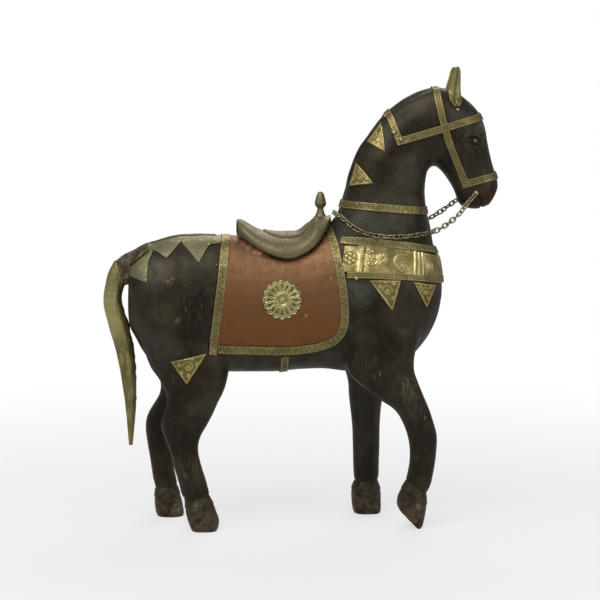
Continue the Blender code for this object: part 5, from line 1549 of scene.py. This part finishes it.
# Painted shade: the carved grooves are darkened nearly to black.
cuts = body_look.ramp(body_look.stored("carved"), -1.3, -0.5, 1.0, 0.0)
colour = body_look.mix(cuts * 0.7, colour, (0.010, 0.008, 0.006))
body_material = body_look.finish(colour, rough, 0.0, rise, 0.22, gloss=0.36, tint=(1.0, 0.86, 0.64))
tail_look, colour, rough, rise = dark_wood("tail wood")
root = tail_look.near((-163, 0, 258), 21, 26)
root_colour = tail_look.mix(tail_look.ramp(tail_look.cloud(7, 4, 0.6), 0.40, 0.62),
                            (0.100, 0.080, 0.050), (0.28, 0.240, 0.155))
colour = tail_look.mix(root, colour, root_colour)
bare = tail_look.near((-182, -9, 243), 3, 8) * tail_look.ramp(tail_look.cloud(3, 3), 0.38, 0.52)
colour = tail_look.mix(bare * 0.85, colour, (0.30, 0.15, 0.055))
tail_material = tail_look.finish(colour, rough, root * 0.6, rise, 0.25, gloss=0.4)
print("wood:", len(body_look.tree.nodes), "nodes")

# %% [markdown]
# Brass tarnishes from yellow through olive to brown, first in the hollows, while hands and cloths
# keep the high places bright. The relief stored on each piece drives that, and clouds of noise
# make it uneven. All the brasses share one recipe, each with its own colours and amounts.

# %% Brass
METAL = 0.9


def brass(name, bright, dull, dark, wear=(0.05, 0.35), tarnish=0.5, rough=(0.36, 0.58), relief=True,
          drawn=(1, 1, 1)):
    """Brass from three tones. Wear is the relief where bright metal starts and is full."""
    look = Finish(name)
    broad = look.cloud(19, 4, 0.6)
    small = look.cloud(2.4, 4, 0.65, scale=drawn)
    scuff = look.cloud(1.1, 2, 0.5, scale=(1, 0.12, 1), turn=(0.3, 0.5, 0.9))
    spots = look.ramp(look.cells(3.4), 0.10, 0.2, 1.0, 0.0) * look.ramp(small, 0.5, 0.62)
    colour = look.mix(look.ramp(broad, 0.40, 0.66), dull, tuple(0.5 * (a + b) for a, b in zip(bright, dull)))
    colour = look.mix(look.ramp(small, 0.50, 0.72) * tarnish, colour, dark)
    worn = look.ramp(broad, 0.3, 0.75) * 0.25
    if relief:
        high = look.stored("relief")
        worn = look.ramp(high, wear[0], wear[1]) * look.ramp(small, 0.75, 0.35, 0.45, 1.0)
        hollow = look.ramp(high, -0.05, 0.10, 1.0, 0.0) * tarnish
        colour = look.mix(hollow, colour, dark)
    colour = look.mix(worn, colour, bright)
    colour = look.mix(spots * 0.6, colour, dark)
    shine = look.ramp(small, 0.35, 0.7, rough[0], rough[1]) + look.ramp(scuff, 0.55, 0.75) * 0.08
    rise = small * 0.5 + scuff * 0.25 + look.cloud(6.5, 2) * 1.4
    return look, colour, shine, rise


look, colour, rough, rise = brass("strip brass", (0.56, 0.475, 0.205), (0.265, 0.218, 0.090),
                                  (0.098, 0.076, 0.034), tarnish=0.6)
strip_material = look.finish(colour, rough, METAL, rise, 0.12)
look, colour, rough, rise = brass("panel brass", (1.0, 0.85, 0.42), (0.50, 0.405, 0.145),
                                  (0.14, 0.11, 0.038), tarnish=0.5, rough=(0.30, 0.46), wear=(0.0, 0.8))
panel_material = look.finish(colour, rough, METAL, rise, 0.12)
look, colour, rough, rise = brass("point brass", (0.84, 0.70, 0.29), (0.41, 0.335, 0.118),
                                  (0.110, 0.084, 0.030), tarnish=0.75, rough=(0.36, 0.55))
point_material = look.finish(colour, rough, METAL, rise, 0.12)
look, colour, rough, rise = brass("rosette brass", (0.88, 0.81, 0.42), (0.34, 0.31, 0.11),
                                  (0.060, 0.056, 0.017), tarnish=0.9, rough=(0.34, 0.5), wear=(0.2, 0.75))
rosette_material = look.finish(colour, rough, METAL, rise, 0.05)
look, colour, rough, rise = brass("saddle brass", (0.34, 0.295, 0.165), (0.25, 0.215, 0.118),
                                  (0.14, 0.115, 0.062), tarnish=0.4, rough=(0.48, 0.66), relief=False)
# Painted reflection: a brown tone on the middle of the saddle's sides.
colour = look.mix(look.across((-12, 272), 8, 34) * 0.55, colour, (0.265, 0.195, 0.115))
# Painted light: the front end of the saddle is lightened where it lies in shade.
colour = look.mix(look.across((40, 302), 6, 26) * 0.6, colour, (0.42, 0.38, 0.235))
colour = look.mix(look.across((-58, 300), 6, 24) * 0.5, colour, (0.215, 0.200, 0.112))
saddle_material = look.finish(colour, rough, METAL, rise, 0.15)
look, colour, rough, rise = brass("croup brass", (0.38, 0.35, 0.20), (0.27, 0.245, 0.130),
                                  (0.12, 0.100, 0.055), tarnish=0.6, rough=(0.42, 0.62), relief=False)
brown = look.mix(look.ramp(look.cloud(5, 4), 0.40, 0.62), (0.085, 0.064, 0.036), (0.21, 0.175, 0.100))
colour = look.mix(look.stored("lap"), colour, brown)
# Painted shade: the slit along the lap is nearly black.
colour = look.mix(look.ramp(look.stored("shaded_slit"), 0.35, 0.8), colour, (0.012, 0.010, 0.006))
croup_material = look.finish(colour, rough, METAL, rise, 0.3)
look, colour, rough, rise = brass("tail brass", (0.78, 0.69, 0.29), (0.42, 0.37, 0.150),
                                  (0.15, 0.122, 0.050), tarnish=0.5, rough=(0.36, 0.56), wear=(0.0, 0.4),
                                  drawn=(1, 1, 0.14))
colour = look.mix(look.across((-193, 214), 12, 46) * 0.65, colour, (0.84, 0.74, 0.33))
colour = look.mix(look.ramp(look.height(), 0.10, 0.18, 0.45, 0.0), colour, (0.30, 0.26, 0.115))
strokes = look.ramp(look.cloud(1.5, 3, 0.6, scale=(0.10, 0.10, 1)), 0.50, 0.68)
strokes = strokes * look.ramp(look.height(), 0.09, 0.20)
colour = look.mix(strokes * 0.32, colour, (0.16, 0.130, 0.052))
cover_material = look.finish(colour, rough, METAL, rise + strokes * 0.25, 0.12)
look, colour, rough, rise = brass("ear brass", (0.66, 0.61, 0.28), (0.36, 0.335, 0.135),
                                  (0.14, 0.12, 0.050), tarnish=0.6, rough=(0.34, 0.54), wear=(0.0, 0.6),
                                  drawn=(1, 1, 0.25))
foot_share = look.ramp(look.height(), 0.420, 0.434, 1.0, 0.0)
colour = look.mix(foot_share * 0.75, colour, (0.20, 0.14, 0.060))
ear_material = look.finish(colour, rough, METAL, rise, 0.12)
look, colour, rough, rise = brass("chain bronze", (0.70, 0.61, 0.39), (0.34, 0.29, 0.180),
                                  (0.080, 0.064, 0.042), tarnish=0.5, rough=(0.32, 0.5), relief=False)
chain_material = look.finish(colour, rough, METAL, rise, 0.08)
print("brass finishes done")

# %% [markdown]
# Copper goes from pink over brown to nearly purple. The cloth is painted paler towards the top,
# as light from above, and deep orange-brown below. Soft dents, fine scratches and a few pale spots
# break the reflection. Below the rear of the saddle, a bright pink painted highlight lies on the
# lip and in a row of spots.

# %% Copper
look = Finish("copper sheet")
broad = look.cloud(34, 4, 0.6)
small = look.cloud(5, 4, 0.65)
lines = look.ramp(look.cloud(1.3, 2, 0.5, scale=(1, 1, 0.05), turn=(0, 0.25, 0)), 0.70, 0.78)
# Painted light: paler towards the top, as the light from above.
painted_top_light = look.ramp(look.height() + broad * 0.07 - 0.035, 0.165, 0.295)
colour = look.mix(painted_top_light, (0.310, 0.128, 0.040), (0.325, 0.180, 0.095))
colour = look.mix(look.ramp(broad, 0.45, 0.70) * 0.5, colour, (0.30, 0.150, 0.070))
colour = look.mix(look.ramp(small, 0.55, 0.75) * 0.35, colour, (0.16, 0.070, 0.040))
specks = look.ramp(look.cells(9.0), 0.035, 0.07, 1.0, 0.0)
colour = look.mix(specks * 0.7, colour, (0.62, 0.40, 0.27))
colour = look.mix(lines * 0.35, colour, (0.55, 0.34, 0.24))
PALE_SPOTS = (((2.6, -49, 213.5), 2.6), ((-11, -48, 264), 1.4), ((27, -46, 250), 1.6),
              ((29.5, -45, 246), 1.4), ((2.5, -47, 268), 2.2), ((-64, -49, 206), 3.0),
              ((-58, -49, 202), 2.0))
for spot, size in PALE_SPOTS:
    pale = look.near(spot, size * 0.5, size) * look.ramp(small, 0.35, 0.55, 0.5, 1.0)
    colour = look.mix(pale * 0.8, colour, (0.62, 0.43, 0.27))
# Painted highlight: a row of bright pink spots along the saddle's rear lower edge.
for spot in ((-64, 288), (-58, 283.5), (-52, 280), (-46, 276.5), (-40, 273.5)):
    painted_lip_glint = look.across(spot, 1.5, 5.0) * look.ramp(look.cloud(6, 3, 0.5), 0.34, 0.52)
    colour = look.mix(painted_lip_glint * 0.85, colour, (0.96, 0.52, 0.37))
# Painted highlight: the crumpled lip is bright pink.
lip_glint_mask = look.ramp(look.stored("fold"), 0.25, 0.7)
colour = look.mix(lip_glint_mask * 0.85, colour, (0.80, 0.40, 0.27))
rough = look.ramp(small, 0.35, 0.7, 0.50, 0.64)
rise = small * 0.5 + look.cloud(14, 2) * 1.6 - lines * 0.2
copper_material = look.finish(colour, rough, METAL, rise, 0.22)
print("copper:", len(look.tree.nodes), "nodes")

# %% [markdown]
# The nails take the brass recipe in six tones: five for the small nails, and a brown one for the
# eye tacks.

# %% Nail finishes
nail_materials = {}
for word, bright, dull in (("nail", (0.74, 0.66, 0.42), (0.36, 0.30, 0.15)),
                           ("dull nail", (0.40, 0.33, 0.17), (0.16, 0.13, 0.06)),
                           ("pale nail", (0.86, 0.78, 0.58), (0.45, 0.37, 0.23)),
                           ("bright nail", (0.95, 0.84, 0.52), (0.60, 0.48, 0.22)),
                           ("copper nail", (0.62, 0.28, 0.12), (0.26, 0.10, 0.04)),
                           ("eye nail", (0.34, 0.24, 0.16), (0.13, 0.085, 0.055))):
    look, colour, rough, rise = brass(word, bright, dull, tuple(0.25 * c for c in dull), tarnish=0.9,
                                      rough=(0.30, 0.48), wear=(0.0, 0.3))
    nail_materials[word] = look.finish(colour, rough, METAL, rise, 0.08)
print(len(nail_materials), "nail finishes")

# %% [markdown]
# Last, every piece rides on the one body of the frame, takes its finish, and hides the plainer
# solid that it stands for.

# %% Dress the frame
def dress(piece, material, slot, *nodes):
    """Give a piece its finish, its body and the solids it stands for. The slot is not used."""
    piece.data.materials.clear()
    piece.data.materials.append(material)
    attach(piece, "root")
    if nodes:
        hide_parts(*nodes)


dress(horse, body_material, "dark_wood", "horse")
dress(tail, tail_material, "dark_wood", "tail")
dress(tail_cover, cover_material, "panel_brass", "tail_cover")
dress(saddle_cloth, copper_material, "copper_sheet", "saddle_cloth")
dress(saddle, saddle_material, "saddle_brass", "saddle")
dress(saddle_seat, saddle_material, "saddle_brass", "saddle_seat")
dress(finial, saddle_material, "saddle_brass", "pommel_finial")
dress(croup_plate, croup_material, "strip_brass", "croup_plate")
dress(breast_panel, panel_material, "panel_brass", "breast_panel")
dress(rein_chain, chain_material, "chain_brass", "rein_chain")
for node, piece in strip_pieces.items():
    dress(piece, croup_material if node == "crupper_strip" else strip_material,
          "saddle_brass" if node == "crupper_strip" else "strip_brass", node)
for node, piece in plate_pieces.items():
    dress(piece, point_material, "panel_brass", node)
for node, piece in rosettes.items():
    dress(piece, rosette_material, "panel_brass", node)
for node, piece in ears.items():
    dress(piece, ear_material, "panel_brass", node)
for node, piece in tacks.items():
    dress(piece, nail_materials["eye nail" if "eye" in node else "pale nail"],
          "chain_brass" if "eye" in node else "panel_brass", node)
for word, piece in nail_pieces.items():
    dress(piece, nail_materials[word], "panel_brass")

# %% [markdown]
# The horse stands on a plain pale floor that fades out around it, in soft studio light: one large
# lamp above and to the left of the camera, a weaker one on the right and one behind. The camera
# sees the even surround as white, but it lights the horse only faintly.

# %% Floor and light
FLOOR_SIZE = 12
FLOOR_ALPHA = 0.36
FADE_START = 0.2
FADE_END = 1.1
LAMP_AIM = Vector((0, 0, 0.22))
SURROUND_STRENGTH = 0.30
bpy.ops.object.select_all(action="DESELECT")
bpy.ops.mesh.primitive_plane_add(size=FLOOR_SIZE, location=(0, 0, 0))
floor = bpy.context.object
floor.name = "floor"
floor_look = Finish("pale floor")
floor_patches = floor_look.ramp(floor_look.cloud(300, 2), 0.3, 0.7)
floor_colour = floor_look.mix(floor_patches, (0.90, 0.90, 0.90), (0.92, 0.92, 0.92))
floor.data.materials.append(floor_look.finish(floor_colour, 0.9, gloss=0.0))
out = floor_look.node("ShaderNodeVectorMath", {"operation": "LENGTH"}, _0=floor_look.place)
away = Sum(floor_look.tree, out.outputs["Value"])
floor_look.feed(floor_look.shader.inputs["Alpha"],
                floor_look.ramp(away, FADE_START, FADE_END, FLOOR_ALPHA, 0.0))


def lamp(name, place, size, power):
    """A round soft lamp that looks at the middle of the horse."""
    data = bpy.data.lights.new(name, "AREA")
    data.shape = "DISK"
    data.size = size
    data.energy = power
    light = bpy.data.objects.new(name, data)
    light.location = place
    light.rotation_euler = (LAMP_AIM - Vector(place)).to_track_quat("-Z", "Y").to_euler()
    bpy.context.scene.collection.objects.link(light)


lamp("key", (-0.55, -0.85, 1.6), 1.5, 12)
lamp("fill", (1.3, -1.3, 0.8), 1.2, 3.5)
lamp("back", (0.3, 1.3, 1.4), 1.2, 8)
world = bpy.data.worlds.new("studio")
bpy.context.scene.world = world
world.use_nodes = True
sky = world.node_tree.nodes["Background"]
ray = world.node_tree.nodes.new("ShaderNodeLightPath")
seen = world.node_tree.nodes.new("ShaderNodeMapRange")
seen.inputs[3].default_value = SURROUND_STRENGTH
seen.inputs[4].default_value = 1.0
world.node_tree.links.new(ray.outputs["Is Camera Ray"], seen.inputs[0])
world.node_tree.links.new(seen.outputs[0], sky.inputs["Strength"])
sky.inputs["Color"].default_value = (1, 1, 1, 1)
